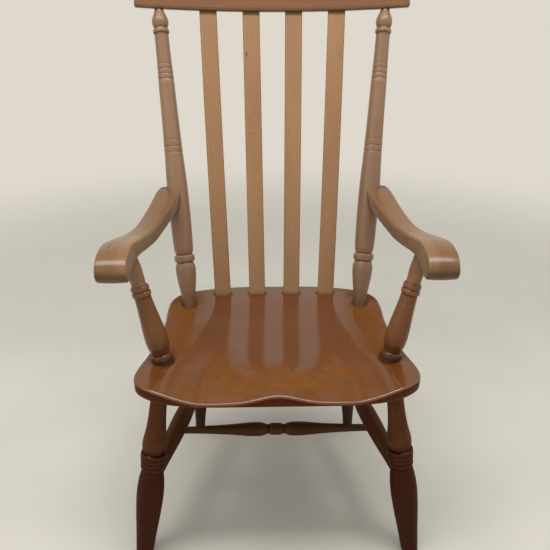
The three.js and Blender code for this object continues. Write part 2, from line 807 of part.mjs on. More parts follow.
function makeArmScrew(side) {
  const { seatOfHead, direction } = armScrewLine(side);
  const across = at(-direction.y, direction.x, 0);
  const length = armScrew.head + fit.overrun;
  const geometry = new THREE.BoxGeometry(length, armScrew.slotDepth * 2, armScrew.slot);
  geometry.applyQuaternion(new THREE.Quaternion().setFromUnitVectors(at(1, 0, 0), across));
  const face = seatOfHead.clone().addScaledVector(direction, fit.clearance);
  geometry.translate(face.x, face.y, face.z);
  return cut(armScrewSolid(side), solidFrom(geometry));
}

function plugBore(side, grow = 0) {
  const { mouth, seatOfHead, direction } = armScrewLine(side);
  const start = mouth.clone().addScaledVector(direction, -fit.overrun);
  const profile = [[0, armScrew.plug], [start.distanceTo(seatOfHead), armScrew.plug]];
  return turned(start, seatOfHead, profile, smallSides, grow);
}

function armScrewHole(side) {
  return plugBore(side, fit.clearance).add(armScrewSolid(side, fit.clearance));
}

// The plug is pared flush with the post.
function makeScrewPlug(side) {
  return plugBore(side).intersect(backPostSolid(side));
}

// The chair

function finish(colour, roughness, metalness = 0) {
  return new THREE.MeshStandardMaterial({ color: colour, roughness, metalness });
}

const chair = new THREE.Group();
const built = new THREE.Group();
chair.add(built);

// Each piece is kept about its own middle, and its mesh is set at that place.
function add(name, solid, material) {
  const geometry = geometryFrom(solid);
  geometry.computeBoundingBox();
  const middle = geometry.boundingBox.getCenter(at(0, 0, 0));
  geometry.translate(-middle.x, -middle.y, -middle.z);
  const mesh = new THREE.Mesh(geometry, material);
  mesh.name = name;
  mesh.position.copy(middle);
  built.add(mesh);
}

const sideNames = new Map([[-1, 'left'], [1, 'right']]);

add('seat', makeSeat(), finish(0x7c4a26, 0.35));
for (const side of sides) {
  const hand = sideNames.get(side);
  add(`leg_front_${hand}`, makeFrontLeg(side), finish(0x5e351c, 0.4));
  add(`leg_rear_${hand}`, makeRearLeg(side), finish(0x4c2b18, 0.45));
  add(`side_stretcher_${hand}`, makeSideStretcher(side), finish(0x5b3a25, 0.45));
  add(`back_post_${hand}`, makeBackPost(side), finish(0x84583a, 0.4));
  add(`arm_${hand}`, makeArm(side), finish(0x8a6142, 0.4));
  add(`arm_support_${hand}`, armSupportSolid(side), finish(0x7a4724, 0.4));
  add(`arm_screw_${hand}`, makeArmScrew(side), finish(0x8d8d88, 0.45, 0.9));
  add(`screw_plug_${hand}`, makeScrewPlug(side), finish(0x7b5133, 0.5));
  add(`crest_peg_${hand}`, crestPegSolid(side), finish(0x6d4629, 0.5));
}
add('cross_stretcher', crossStretcherSolid(), finish(0x6b3d22, 0.4));
lathPlaceShares.forEach((place, i) => add(`lath_${i + 1}`, lathSolid(place), finish(0x976a44, 0.4)));
add('crest_rail', makeCrest(), finish(0x8f6546, 0.4));

// The origin is on the floor under the middle of the chair's box.
const box = new THREE.Box3().setFromObject(built);
const middle = box.getCenter(at(0, 0, 0));
built.position.set(-middle.x, -middle.y, -box.min.z);

export default chair;
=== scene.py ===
import math

import bmesh
import bpy
from mathutils import Matrix, Vector, noise


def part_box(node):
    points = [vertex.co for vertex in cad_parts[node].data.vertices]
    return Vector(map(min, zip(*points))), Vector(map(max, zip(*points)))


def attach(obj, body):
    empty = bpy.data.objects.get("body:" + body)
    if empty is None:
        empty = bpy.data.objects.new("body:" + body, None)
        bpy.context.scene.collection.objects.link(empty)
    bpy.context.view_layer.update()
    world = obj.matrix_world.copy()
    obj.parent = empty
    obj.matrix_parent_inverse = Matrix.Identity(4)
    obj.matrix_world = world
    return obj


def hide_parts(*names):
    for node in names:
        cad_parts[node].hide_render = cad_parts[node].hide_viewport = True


# A lath-back Windsor armchair. Its sizes are in millimetres, laid out from the middle of the
# seat's back edge with the front towards -Y, and each piece is set in metres on the frame.

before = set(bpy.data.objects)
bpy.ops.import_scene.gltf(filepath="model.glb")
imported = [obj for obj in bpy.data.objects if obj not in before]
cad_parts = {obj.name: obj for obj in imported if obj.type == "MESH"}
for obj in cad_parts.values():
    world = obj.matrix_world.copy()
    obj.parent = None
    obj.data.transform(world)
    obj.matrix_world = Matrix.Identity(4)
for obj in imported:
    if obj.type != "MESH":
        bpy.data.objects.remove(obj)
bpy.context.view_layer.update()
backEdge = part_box("seat")[1].y
mm = 0.001
quarter = math.pi / 2
handed = {"left": -1, "right": 1}
print("frame loaded, seat's back edge at", round(backEdge, 5))


def place(point):
    return Vector((point[0] * mm, point[1] * mm + backEdge, point[2] * mm))


def stand(name, data):
    # a new object in the scene
    thing = bpy.data.objects.new(name, data)
    bpy.context.scene.collection.objects.link(thing)
    return thing


def paint(code):
    # a six-figure colour code as linear red, green, blue
    parts = [int(code[i:i + 2], 16) / 255 for i in (0, 2, 4)]
    return tuple(((c + 0.055) / 1.055) ** 2.4 if c > 0.04045 else c / 12.92 for c in parts) + (1,)


def eased(value, low, high):
    # a smooth step from 0 at low to 1 at high
    t = min(max((value - low) / (high - low), 0), 1)
    return t * t * (3 - 2 * t)


def hump(value, middle, width):
    # a bell that is 1 at its middle
    return math.exp(-(((value - middle) / width) ** 2))


def follow(table, share):
    # value of a table of pairs, along a smooth curve through them
    last = len(table) - 1
    i = 0
    while i < last - 1 and share > table[i + 1][0]:
        i += 1
    (x0, y0), (x1, y1) = table[i], table[i + 1]
    before, after = table[max(i - 1, 0)], table[min(i + 2, last)]
    slope0 = (y1 - before[1]) / (x1 - before[0])
    slope1 = (after[1] - y0) / (after[0] - x0)
    span = x1 - x0
    t = min(max((share - x0) / span, 0), 1)
    t2, t3 = t * t, t * t * t
    return ((2 * t3 - 3 * t2 + 1) * y0 + (t3 - 2 * t2 + t) * span * slope0
            + (3 * t2 - 2 * t3) * y1 + (t3 - t2) * span * slope1)


# sizes shared by several pieces

seatLook = {
    "top": 440, "thickness": 42, "width": 530, "depth": 413, "edgeFace": 23, "chamfer": 22,
    "arris": 5, "arrisSteps": 8, "leastBand": 1, "dish": 17, "around": 360, "ringsOnTop": 84,
    "ringsBelow": 10, "ringBend": 2.2, "crispAngle": 50,
    "plan": [(0, 0), (0.365, 0.004), (0.61, 0.03), (0.758, 0.062), (0.85, 0.105), (0.895, 0.165),
             (0.904, 0.25), (0.895, 0.4), (0.912, 0.55), (0.952, 0.69), (0.992, 0.79), (1, 0.845),
             (0.975, 0.895), (0.895, 0.94), (0.76, 0.976), (0.57, 0.996), (0.3, 1), (0, 1)],
    # further in and up than the band's or the chamfer's lower edge, rub, painted shade, more painted shade in
    # front
    "bandRings": [(0.15, 1.2, 0, 0.4, 0.4), (0.9, -0.6, 0.1, 0.4, 0)],
    "chamferRings": [(-1, 1.1, 0.1, 0.2, 0), (1, 0, 0.1, 0.3, 0)],
}
crestLook = {
    "rise": 600, "setBack": 140, "width": 579, "height": 88, "thickness": 23, "hollow": 30,
    "undercut": 5, "arris": 1.8, "postInset": 49.5, "rake": 18.5, "stations": 150, "endSteps": 6,
    "cornerSteps": 5, "sideSteps": 12, "capSteps": 3, "leastSection": 2.2, "crispAngle": 40,
    # the crest darkens along its lower edge: painted shade of its underside
    "lowEdge": 5, "highEdge": 6, "lowRub": 0.2, "grimeAndShadeReach": 2.5, "grimeAndPaintedShade": 0.8,
    "grainDepth": 0.4,
    "top": [(0, 1), (0.3, 0.985), (0.55, 0.94), (0.75, 0.87), (0.88, 0.79), (0.955, 0.69),
            (0.99, 0.52), (1, 0.36)],
    "low": [(0, 0), (0.98, 0), (0.995, 0.01), (1, 0.035)],
}
supportLook = {
    # the upper third of the support takes its rub colour and is lighter above
    "swell": 43, "baseRing": 38, "sideInset": 47, "frontInset": 113, "armSocket": 22, "lighterFrom": 0.66,
    # the support darkens towards its foot: painted shade where it meets the seat
    "darkUpTo": 60,
    "shape": [
        ("run", [(0, 0.84), (0.012, 0.88), (0.04, 0.88), (0.056, 0.84)]),
        ("run", [(0.062, 0.77), (0.09, 0.84), (0.14, 0.95), (0.2, 1), (0.28, 0.975), (0.4, 0.87),
                 (0.52, 0.77), (0.61, 0.72)]),
        ("bead", 0.62, 0.66, 0.83, 0.7), ("bead", 0.67, 0.71, 0.8, 0.68),
        ("run", [(0.73, 0.62), (0.78, 0.65), (0.86, 0.67), (0.94, 0.62), (1, 0.56)]),
    ],
}
lathLook = {
    "width": 37, "thickness": 9.5, "rounding": 2.2, "roundingSteps": 4, "seatSpacing": 80,
    "crestSpacing": 92, "backInset": 37, "sweep": 3, "bow": 9, "seatTenon": 24, "crestTenon": 26,
    "steps": 90, "places": [-1.5, -0.5, 0.5, 1.5], "crispAngle": 0.6, "darkEdgeFrom": 0.44,
    # the lath ends darken near seat and crest, and the seat round them: grime and painted shade
    "grimeAndShadeReach": 0.008, "grimeAndShadeSpots": (-0.8, -0.4, 0, 0.4, 0.8), "grainSteps": (0.37, 0.21, 0.9),
}
underside = seatLook["top"] - seatLook["thickness"]
halfSeat = seatLook["width"] / 2
halfCrest = crestLook["width"] / 2
crestRadius = (halfCrest ** 2 + crestLook["hollow"] ** 2) / (2 * crestLook["hollow"])
crestTilt = Matrix.Rotation(-math.radians(crestLook["rake"]), 3, "X")


def crestPoint(across, thicknessShare, height):
    angle = math.asin(across / crestRadius)
    radius = crestRadius + crestLook["thickness"] * thicknessShare
    local = Vector((radius * math.sin(angle), radius * math.cos(angle) - crestRadius, height))
    return crestTilt @ local + Vector((0, crestLook["setBack"], seatLook["top"] + crestLook["rise"]))


# nodes

def fill(tree, sockets, values):
    # links each socket to another one, or gives it a value
    for label, value in values.items():
        if isinstance(value, bpy.types.NodeSocket):
            tree.links.new(value, sockets[label])
        else:
            sockets[label].default_value = value


def addNode(tree, kind, inputs, **settings):
    node = tree.nodes.new(kind)
    for label, value in settings.items():
        setattr(node, label, value)
    fill(tree, node.inputs, inputs)
    return node.outputs


def newTree(name, kind, inputs, outputs):
    # a node group; each socket has a kind, or a number that is a Float's first value
    tree = bpy.data.node_groups.new(name, kind)
    if kind == "GeometryNodeTree":
        tree.is_modifier = True
    for direction, sockets in (("INPUT", inputs), ("OUTPUT", outputs)):
        for label, given in sockets.items():
            plain = isinstance(given, float)
            socket = tree.interface.new_socket(
                label, in_out=direction, socket_type="NodeSocket" + ("Float" if plain else given))
            if plain:
                socket.default_value = given
    return tree, tree.nodes.new("NodeGroupInput").outputs, tree.nodes.new("NodeGroupOutput").inputs


def mathNode(tree, operation, first, second=0.0, clamp=False):
    return addNode(tree, "ShaderNodeMath", {0: first, 1: second}, operation=operation, use_clamp=clamp)[0]


def plus(tree, first, second, clamp=False):
    return mathNode(tree, "ADD", first, second, clamp)


def minus(tree, first, second, clamp=False):
    return mathNode(tree, "SUBTRACT", first, second, clamp)


def times(tree, first, second, clamp=False):
    return mathNode(tree, "MULTIPLY", first, second, clamp)


def vectorNode(tree, operation, first, second=(0, 0, 0)):
    made = addNode(tree, "ShaderNodeVectorMath", {0: first, 1: second}, operation=operation)
    return made["Value" if operation in ("DOT_PRODUCT", "LENGTH") else "Vector"]


def noiseNode(tree, vector, scale, detail=3.0, roughness=0.55):
    return addNode(tree, "ShaderNodeTexNoise", {
        "Vector": vector, "Scale": scale, "Detail": detail, "Roughness": roughness})["Fac"]


def rangeNode(tree, value, low, high, newLow=0.0, newHigh=1.0):
    return addNode(tree, "ShaderNodeMapRange", {
        "Value": value, "From Min": low, "From Max": high, "To Min": newLow, "To Max": newHigh},
        interpolation_type="SMOOTHSTEP")["Result"]


def mixNode(tree, factor, first, second):
    return addNode(tree, "ShaderNodeMix", {0: factor, 6: first, 7: second}, data_type="RGBA")[2]


# wood

grainLook = {
    "wanderStretch": (1, 1, 0.25), "wanderScale": 11, "wanderDetail": 2, "wanderX": 0.05, "wanderY": 0.035,
    "streakStretch": (1, 1, 0.03), "streakDetail": 5, "streakRoughness": 0.62, "streakHeight": 0.5,
    "ringStretch": (1, 0.8, 0.07), "ringDistortion": 5, "ringDetail": 2.5, "ringDetailScale": 0.6,
    "cloudStretch": (1, 1, 0.35), "poreStretch": (1, 1, 0.05), "poreDetail": 1, "pores": (0.56, 0.72),
}
rubLook = {
    "breakDetail": 5, "breakRoughness": 0.6, "unevenBy": 1.6, "unevenFrom": 0.2, "haze": 0.12,
    "grimeRoughness": 0.2,
}
markLook = {
    "slant": (0.5, 0.8, 0.3), "stretch": (1, 0.12, 0.6), "scratchWidth": 0.025, "gateScale": 38,
    "gateDetail": 2, "gate": (0.52, 0.62), "dentDetail": 1, "dents": (0.66, 0.8),
}
spotLook = {"waverStretch": (0.3, 0.3, 1), "waverScale": 130, "waverDetail": 2, "waver": 0.003, "core": 0.45}


def makeGrainLines():
    # growth rings, long streaks, soft clouds and pores; the grain runs along the vector's Z
    group, put, made = newTree("grainLines", "ShaderNodeTree", {
        "Grain": "Vector", "Pale": "Color", "Deep": "Color",
        "Streak Scale": 420.0, "Ring Scale": 60.0, "Cloud Scale": 14.0, "Pore Scale": 1500.0,
        "Streak Depth": 0.5, "Ring Depth": 0.3, "Cloud Depth": 0.5, "Pore Depth": 0.3,
    }, {"Colour": "Color", "Height": "Float"})
    look = grainLook

    def stretched(vector, figure):
        return vectorNode(group, "MULTIPLY", vector, look[figure + "Stretch"])

    wander = noiseNode(group, stretched(put["Grain"], "wander"), look["wanderScale"], look["wanderDetail"])
    shift = addNode(group, "ShaderNodeCombineXYZ", {
        0: times(group, wander, look["wanderX"]), 1: times(group, wander, look["wanderY"])})[0]
    bent = vectorNode(group, "ADD", put["Grain"], shift)
    streaks = noiseNode(group, stretched(bent, "streak"), put["Streak Scale"],
                        look["streakDetail"], look["streakRoughness"])
    rings = addNode(group, "ShaderNodeTexWave", {
        "Vector": stretched(bent, "ring"), "Scale": put["Ring Scale"], "Distortion": look["ringDistortion"],
        "Detail": look["ringDetail"], "Detail Scale": look["ringDetailScale"]},
        wave_type="BANDS", bands_direction="X")["Fac"]
    clouds = noiseNode(group, stretched(put["Grain"], "cloud"), put["Cloud Scale"])
    flecks = noiseNode(group, stretched(bent, "pore"), put["Pore Scale"], look["poreDetail"])
    pores = rangeNode(group, flecks, *look["pores"])
    streaky, ringed, cloudy = (
        times(group, minus(group, figure, 0.5), put[depth + " Depth"])
        for figure, depth in ((streaks, "Streak"), (rings, "Ring"), (clouds, "Cloud")))
    tone = plus(group, plus(group, plus(group, streaky, ringed), cloudy), 0.5, True)
    tone = minus(group, tone, times(group, pores, put["Pore Depth"]), True)
    fill(group, made, {
        "Colour": mixNode(group, tone, put["Deep"], put["Pale"]),
        "Height": minus(group, times(group, streaks, look["streakHeight"]), pores)})
    return group


def makeWearGrimeAndPaintedLight():
    # colour rubbed off where hands and clothes reach, and old polish left in the hollows. The same
    # masks also carry painted light, on the upper front legs and in part of the arris highlights, and
    # painted shade under the seat's front arris, band and chamfer, on the crest's lower edge, at the
    # joints and on the scroll's lower front
    group, put, made = newTree("wearGrimeAndPaintedLight", "ShaderNodeTree", {
        "Grain": "Vector", "Colour": "Color", "Wear And Painted Light": 0.0, "Grime And Painted Shade": 0.0,
        "Wear And Painted Light Colour": "Color", "Grime And Painted Shade Colour": "Color", "Wear And Painted Light Amount": 0.6, "Grime And Painted Shade Amount": 0.8,
        "Polish Roughness": 0.3, "Worn Roughness": 0.45, "Break Scale": 60.0,
    }, {"Colour": "Color", "Roughness": "Float", "Worn": "Float"})
    look = rubLook
    breaks = noiseNode(group, put["Grain"], put["Break Scale"], look["breakDetail"], look["breakRoughness"])
    uneven = plus(group, times(group, breaks, look["unevenBy"]), look["unevenFrom"])
    wearAndPaintedLight, grimeAndPaintedShade = (times(group, times(group, put[mask], uneven), put[mask + " Amount"], True)
                  for mask in ("Wear And Painted Light", "Grime And Painted Shade"))
    rubbed = mixNode(group, wearAndPaintedLight, put["Colour"], put["Wear And Painted Light Colour"])
    spread = minus(group, put["Worn Roughness"], put["Polish Roughness"])
    rough = plus(group, put["Polish Roughness"], times(group, wearAndPaintedLight, spread))
    rough = plus(group, rough, times(group, minus(group, breaks, 0.5), look["haze"]))
    fill(group, made, {
        "Colour": mixNode(group, grimeAndPaintedShade, rubbed, put["Grime And Painted Shade Colour"]), "Worn": wearAndPaintedLight,
        "Roughness": plus(group, rough, times(group, grimeAndPaintedShade, look["grimeRoughness"]), True)})
    return group


def makeSmallMarks():
    # short scratches and shallow dents of long use
    group, put, made = newTree("smallMarks", "ShaderNodeTree", {
        "Grain": "Vector", "Scratch Scale": 60.0, "Dent Scale": 35.0, "Scratch Share": 0.5,
    }, {"Height": "Float", "Marks": "Float"})
    look = markLook
    slanted = addNode(group, "ShaderNodeMapping", {
        "Vector": put["Grain"], "Rotation": look["slant"], "Scale": look["stretch"]})[0]
    cells = addNode(group, "ShaderNodeTexVoronoi", {"Vector": slanted, "Scale": put["Scratch Scale"]},
                    feature="DISTANCE_TO_EDGE")["Distance"]
    lines = rangeNode(group, cells, 0.0, look["scratchWidth"], 1.0, 0.0)
    gaps = noiseNode(group, put["Grain"], look["gateScale"], look["gateDetail"])
    scratches = times(group, times(group, lines, rangeNode(group, gaps, *look["gate"])), put["Scratch Share"])
    hollows = noiseNode(group, put["Grain"], put["Dent Scale"], look["dentDetail"])
    marks = plus(group, scratches, rangeNode(group, hollows, *look["dents"]), True)
    fill(group, made, {"Marks": marks, "Height": times(group, marks, -1.0)})
    return group


def makeDarkSpot():
    # one mark at a known place of the timber: a knot, a hair crack or a burn
    group, put, made = newTree("darkSpot", "ShaderNodeTree", {
        "Grain": "Vector", "Middle": "Vector", "Reach": "Vector", "Strength": 0.8}, {"Mask": "Float"})
    look = spotLook
    waver = noiseNode(group, vectorNode(group, "MULTIPLY", put["Grain"], look["waverStretch"]),
                      look["waverScale"], look["waverDetail"])
    drift = addNode(group, "ShaderNodeCombineXYZ", {
        0: times(group, minus(group, waver, 0.5), look["waver"])})[0]
    local = vectorNode(group, "SUBTRACT", vectorNode(group, "ADD", put["Grain"], drift), put["Middle"])
    far = vectorNode(group, "LENGTH", vectorNode(group, "DIVIDE", local, put["Reach"]))
    mask = rangeNode(group, far, look["core"], 1.0, 1.0, 0.0)
    fill(group, made, {"Mask": times(group, mask, put["Strength"])})
    return group


grainLines = makeGrainLines()
darkSpot = makeDarkSpot()
wearGrimeAndPaintedLight = makeWearGrimeAndPaintedLight()
smallMarks = makeSmallMarks()

# every wood begins as the plain one, and names what differs
plainWood = {
    "streak": 0.3, "ring": 0.06, "cloud": 0.6, "pore": 0.15, "streakScale": 420, "ringScale": 70,
    "cloudScale": 16, "poreScale": 1500, "wearAndPaintedLight": 0.5, "grimeAndPaintedShade": 0.7, "polish": 0.34, "worn": 0.45,
    "coat": 0.2, "coatWorn": 0.3, "coatGrimedAndShaded": 0, "coatRoughness": 0.2, "gloss": 1.5, "specular": 0,
    "bump": 0.12, "bumpDepth": 0.0006, "grainRelief": 0.6, "marks": 0.15, "spots": [],
}
woodLooks = {
    "seatElm": {
        # the rub colour also paints part of the front arris's highlight
        "slot": "seat_elm", "pale": "763f14", "deep": "48240a", "wearAndPaintedLightColour": "80532c",
        # the grime colour also paints the shade of the front arris, band, chamfer and underside
        "grimeAndPaintedShadeColour": "4a1d08", "streak": 0.4, "ring": 0.08, "cloud": 0.7, "pore": 0.2,
        "streakScale": 300, "ringScale": 34, "cloudScale": 9, "poreScale": 1100, "wearAndPaintedLight": 0.66,
        "grimeAndPaintedShade": 0.85, "polish": 0.3, "worn": 0.5, "coat": 1, "coatWorn": 1.7, "coatGrimedAndShaded": 1.15,
        "coatRoughness": 0.11, "gloss": 1.8, "specular": 0.03, "bump": 0.16, "marks": 0.3,
        "spots": [((0.82, 0.429, 0.0556), (0.0022, 1, 0.006), 0.7),
                  ((0.597, 0.42, -0.112), (0.002, 1, 0.009), 0.5),
                  ((0.601, 0.42, -0.086), (0.0018, 1, 0.006), 0.5)],
    },
    "frontLegWood": {
        # the rub colour also paints the lit upper third of the front legs
        "slot": "front_legs", "pale": "4b1d05", "deep": "2a0e02", "wearAndPaintedLightColour": "714729",
        "grimeAndPaintedShadeColour": "1a0c06", "ring": 0.08, "polish": 0.3, "worn": 0.4, "coatRoughness": 0.12,
    },
    "rearLegWood": {
        "slot": "rear_legs", "pale": "4d2f1b", "deep": "29160b", "wearAndPaintedLightColour": "6b472c",
        "grimeAndPaintedShadeColour": "170c06", "ring": 0.08, "wearAndPaintedLight": 0.4, "grimeAndPaintedShade": 0.6, "polish": 0.36,
    },
    "stretcherWood": {
        "slot": "stretchers", "pale": "5f3a22", "deep": "331b0d", "wearAndPaintedLightColour": "7a4e32",
        "grimeAndPaintedShadeColour": "190d07", "ring": 0.08, "wearAndPaintedLight": 0.6, "coatRoughness": 0.18,
    },
    "postWood": {
        "slot": "posts", "pale": "9d7859", "deep": "6e523d", "wearAndPaintedLightColour": "a37d5a",
        # the grime colour also paints the shade at the post's foot
        "grimeAndPaintedShadeColour": "4f2c15", "streak": 0.22, "pore": 0.12, "cloudScale": 14, "wearAndPaintedLight": 0.35,
        "grimeAndPaintedShade": 0.75, "polish": 0.38, "coat": 0.35, "coatRoughness": 0.26, "specular": 0.3,
        "bump": 0.1, "marks": 0.12,
    },
    "lathWood": {
        # this rub colour is darker: it darkens both long edges of each lath
        "slot": "laths", "pale": "b28963", "deep": "846147", "wearAndPaintedLightColour": "7b5533",
        # the grime colour also paints the shade where the laths meet seat and crest
        "grimeAndPaintedShadeColour": "3c2513", "streak": 0.32, "ring": 0.1, "cloud": 0.85, "streakScale": 480,
        "ringScale": 60, "cloudScale": 8, "grimeAndPaintedShade": 0.5, "polish": 0.46, "worn": 0.5, "coat": 0.06,
        "coatRoughness": 0.3, "specular": 0.12, "marks": 0.1,
        "spots": [((0.7515, 0.4152, 2.3573), (0.0028, 1, 0.006), 0.65),
                  ((0.7434, 0.4152, 2.1884), (0.012, 1, 0.0012), 0.3)],
    },
    "crestWood": {
        "slot": "crest", "pale": "926544", "deep": "65422b", "wearAndPaintedLightColour": "a67a58",
        # the grime colour also paints the shade along the lower edge
        "grimeAndPaintedShadeColour": "3a2416", "streak": 0.5, "ring": 0.12, "cloud": 0.5, "ringScale": 60,
        "cloudScale": 10, "poreScale": 1400, "grimeAndPaintedShade": 0.8, "polish": 0.36, "coat": 0.3,
        "coatRoughness": 0.24, "specular": 0.15, "marks": 0.12,
    },
    "armWood": {
        # the rub colour also paints part of the highlight on the arrises
        "slot": "arms", "pale": "87613b", "deep": "543922", "wearAndPaintedLightColour": "a67f52",
        # the grime colour also paints the shade on the scroll's lower front
        "grimeAndPaintedShadeColour": "2e1a0e", "streak": 0.28, "cloud": 0.8, "ringScale": 60, "cloudScale": 14,
        "grimeAndPaintedShade": 0.8, "worn": 0.3, "coat": 0.45, "coatWorn": 0, "coatRoughness": 0.17,
        "specular": 0.2, "bump": 0.1, "spots": [((-0.7095, 0.05, -0.688), (0.0012, 1, 0.042), 0.9)],
    },
    "supportWood": {
        "slot": "arm_supports", "pale": "8b552a", "deep": "4f2a11", "wearAndPaintedLightColour": "a5835f",
        # the grime colour also paints the shade at the support's foot
        "grimeAndPaintedShadeColour": "261409", "streak": 0.26, "wearAndPaintedLight": 0.4, "grimeAndPaintedShade": 0.75, "polish": 0.32,
        "worn": 0.4, "coat": 0.6, "coatRoughness": 0.14, "specular": 0.1, "bump": 0.1,
    },
    "pegWood": {
        "slot": "plugs_and_pegs", "pale": "7d5435", "deep": "472b19", "wearAndPaintedLightColour": "7d5435",
        "grimeAndPaintedShadeColour": "241309", "streak": 0.5, "ring": 0.5, "cloud": 0.3, "pore": 0.4,
        "streakScale": 900, "ringScale": 260, "cloudScale": 40, "poreScale": 2400, "wearAndPaintedLight": 0.2,
        "grimeAndPaintedShade": 0.9, "polish": 0.42, "worn": 0.5, "coatWorn": 0, "coatRoughness": 0.3,
        "specular": 0.3, "bump": 0.2, "marks": 0.1,
    },
}
woodLooks = {name: {**plainWood, **changes} for name, changes in woodLooks.items()}


def newMaterial(name):
    material = bpy.data.materials.new(name)
    material.use_nodes = True
    return material, material.node_tree, material.node_tree.nodes["Principled BSDF"]


def makeWood(name, look):
    wood, tree, surface = newMaterial(name)
    # these masks carry wear and grime, and also painted light and painted shade
    grain, wearAndPaintedLight, grimeAndPaintedShade = (addNode(tree, "ShaderNodeAttribute", {}, attribute_name=stored)[part]
                         for stored, part in (("grain", "Vector"), ("wearAndPaintedLight", "Fac"), ("grimeAndPaintedShade", "Fac")))
    grimeAndPaintedShadeColour = paint(look["grimeAndPaintedShadeColour"])
    lines = addNode(tree, "ShaderNodeGroup", {
        "Grain": grain, "Pale": paint(look["pale"]), "Deep": paint(look["deep"]),
        "Streak Scale": look["streakScale"], "Ring Scale": look["ringScale"],
        "Cloud Scale": look["cloudScale"], "Pore Scale": look["poreScale"],
        "Streak Depth": look["streak"], "Ring Depth": look["ring"],
        "Cloud Depth": look["cloud"], "Pore Depth": look["pore"]}, node_tree=grainLines)
    worn = addNode(tree, "ShaderNodeGroup", {
        "Grain": grain, "Colour": lines["Colour"], "Wear And Painted Light": wearAndPaintedLight, "Grime And Painted Shade": grimeAndPaintedShade,
        "Wear And Painted Light Colour": paint(look["wearAndPaintedLightColour"]), "Grime And Painted Shade Colour": grimeAndPaintedShadeColour,
        "Wear And Painted Light Amount": look["wearAndPaintedLight"], "Grime And Painted Shade Amount": look["grimeAndPaintedShade"],
        "Polish Roughness": look["polish"], "Worn Roughness": look["worn"]}, node_tree=wearGrimeAndPaintedLight)
    marks = addNode(tree, "ShaderNodeGroup", {"Grain": grain}, node_tree=smallMarks)
    colour = mixNode(tree, times(tree, marks["Marks"], look["marks"]), worn["Colour"], grimeAndPaintedShadeColour)
    relief = plus(tree, times(tree, lines["Height"], look["grainRelief"]), marks["Height"])
    for middle, reach, strength in look["spots"]:
        spot = addNode(tree, "ShaderNodeGroup", {
            "Grain": grain, "Middle": middle, "Reach": reach, "Strength": strength},
            node_tree=darkSpot)["Mask"]
        colour = mixNode(tree, spot, colour, grimeAndPaintedShadeColour)
        relief = minus(tree, relief, spot)
    lost = plus(tree, times(tree, worn["Worn"], look["coatWorn"]), times(tree, grimeAndPaintedShade, look["coatGrimedAndShaded"]))
    fill(tree, surface.inputs, {
        "Base Color": colour, "Roughness": worn["Roughness"],
        "Coat Weight": times(tree, minus(tree, 1.0, lost, True), look["coat"]),
        "Coat Roughness": look["coatRoughness"], "Coat IOR": look["gloss"],
        "Specular IOR Level": look["specular"],
        "Normal": addNode(tree, "ShaderNodeBump", {
            "Strength": look["bump"], "Distance": look["bumpDepth"], "Height": relief})["Normal"]})
    return wood


steelLook = {"bright": "8a8984", "dull": "5c5a55", "tarnishScale": 260, "tarnishDetail": 4,
             "tarnish": (0.3, 0.7), "roughness": (0.35, 0.6)}


def makeSteel(look):
    steel, tree, surface = newMaterial("screwSteel")
    spot = addNode(tree, "ShaderNodeTexCoord", {})["Object"]
    tarnish = noiseNode(tree, spot, look["tarnishScale"], look["tarnishDetail"])
    fill(tree, surface.inputs, {
        "Base Color": mixNode(tree, tarnish, paint(look["bright"]), paint(look["dull"])),
        "Roughness": rangeNode(tree, tarnish, *look["tarnish"], *look["roughness"]), "Metallic": 1.0})
    return steel


woods = {name: makeWood(name, look) for name, look in woodLooks.items()}
screwSteel = makeSteel(steelLook)
print("materials ready:", len(woods) + 1)


# making pieces

def runTree(name, startMesh, tree, values):
    piece = stand(name, startMesh)
    modifier = piece.modifiers.new(tree.name, "NODES")
    modifier.node_group = tree
    for item in tree.interface.items_tree:
        if item.item_type == "SOCKET" and item.in_out == "INPUT" and item.name in values:
            modifier[item.identifier] = values[item.name]
    depsgraph = bpy.context.evaluated_depsgraph_get()
    made = bpy.data.meshes.new_from_object(piece.evaluated_get(depsgraph), depsgraph=depsgraph)
    piece.modifiers.remove(modifier)
    piece.data = made
    made.name = name
    return piece


def settle(piece, node):
    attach(piece, "root")
    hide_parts(node)


def closeTree(tree, geometry, put, made):
    # crisp edges at grooves, then real geometry and the wood
    angle = addNode(tree, "GeometryNodeInputMeshEdgeAngle", {})["Unsigned Angle"]
    smooth = addNode(tree, "FunctionNodeCompare", {"A": angle, "B": put["Crisp Angle"]},
                     data_type="FLOAT", operation="LESS_THAN")["Result"]
    soft = addNode(tree, "GeometryNodeSetShadeSmooth", {"Geometry": geometry, "Shade Smooth": smooth},
                   domain="EDGE")[0]
    real = addNode(tree, "GeometryNodeRealizeInstances", {0: soft})[0]
    wood = addNode(tree, "GeometryNodeSetMaterial", {"Geometry": real, "Material": put["Wood"]})[0]
    fill(tree, made, {"Piece": wood})


def storeNode(tree, geometry, name, value, kind="FLOAT"):
    return addNode(tree, "GeometryNodeStoreNamedAttribute", {
        "Geometry": geometry, "Name": name, "Value": value}, data_type=kind, domain="POINT")[0]


def captureNode(tree, geometry, name, value, kind):
    node = tree.nodes.new("GeometryNodeCaptureAttribute")
    node.capture_items.new(kind, name)
    fill(tree, node.inputs, {"Geometry": geometry, name: value})
    return node.outputs


turningLook = {
    "facets": 64, "curveSteps": 7, "beadSteps": 14, "beadFullness": 0.5, "grooveShare": 0.62,
    # how dark the foot of a post or support is painted: a painted shade near the seat
    "reach": 3.5, "rubAt": 0.9, "grimeAt": 1.5, "lighterOver": 20, "darkFoot": 0.8,
    "hub": 0.01, "merge": 0.03, "crispAngle": 0.6, "grainSteps": (0.131, 0.077, 0.213),
}


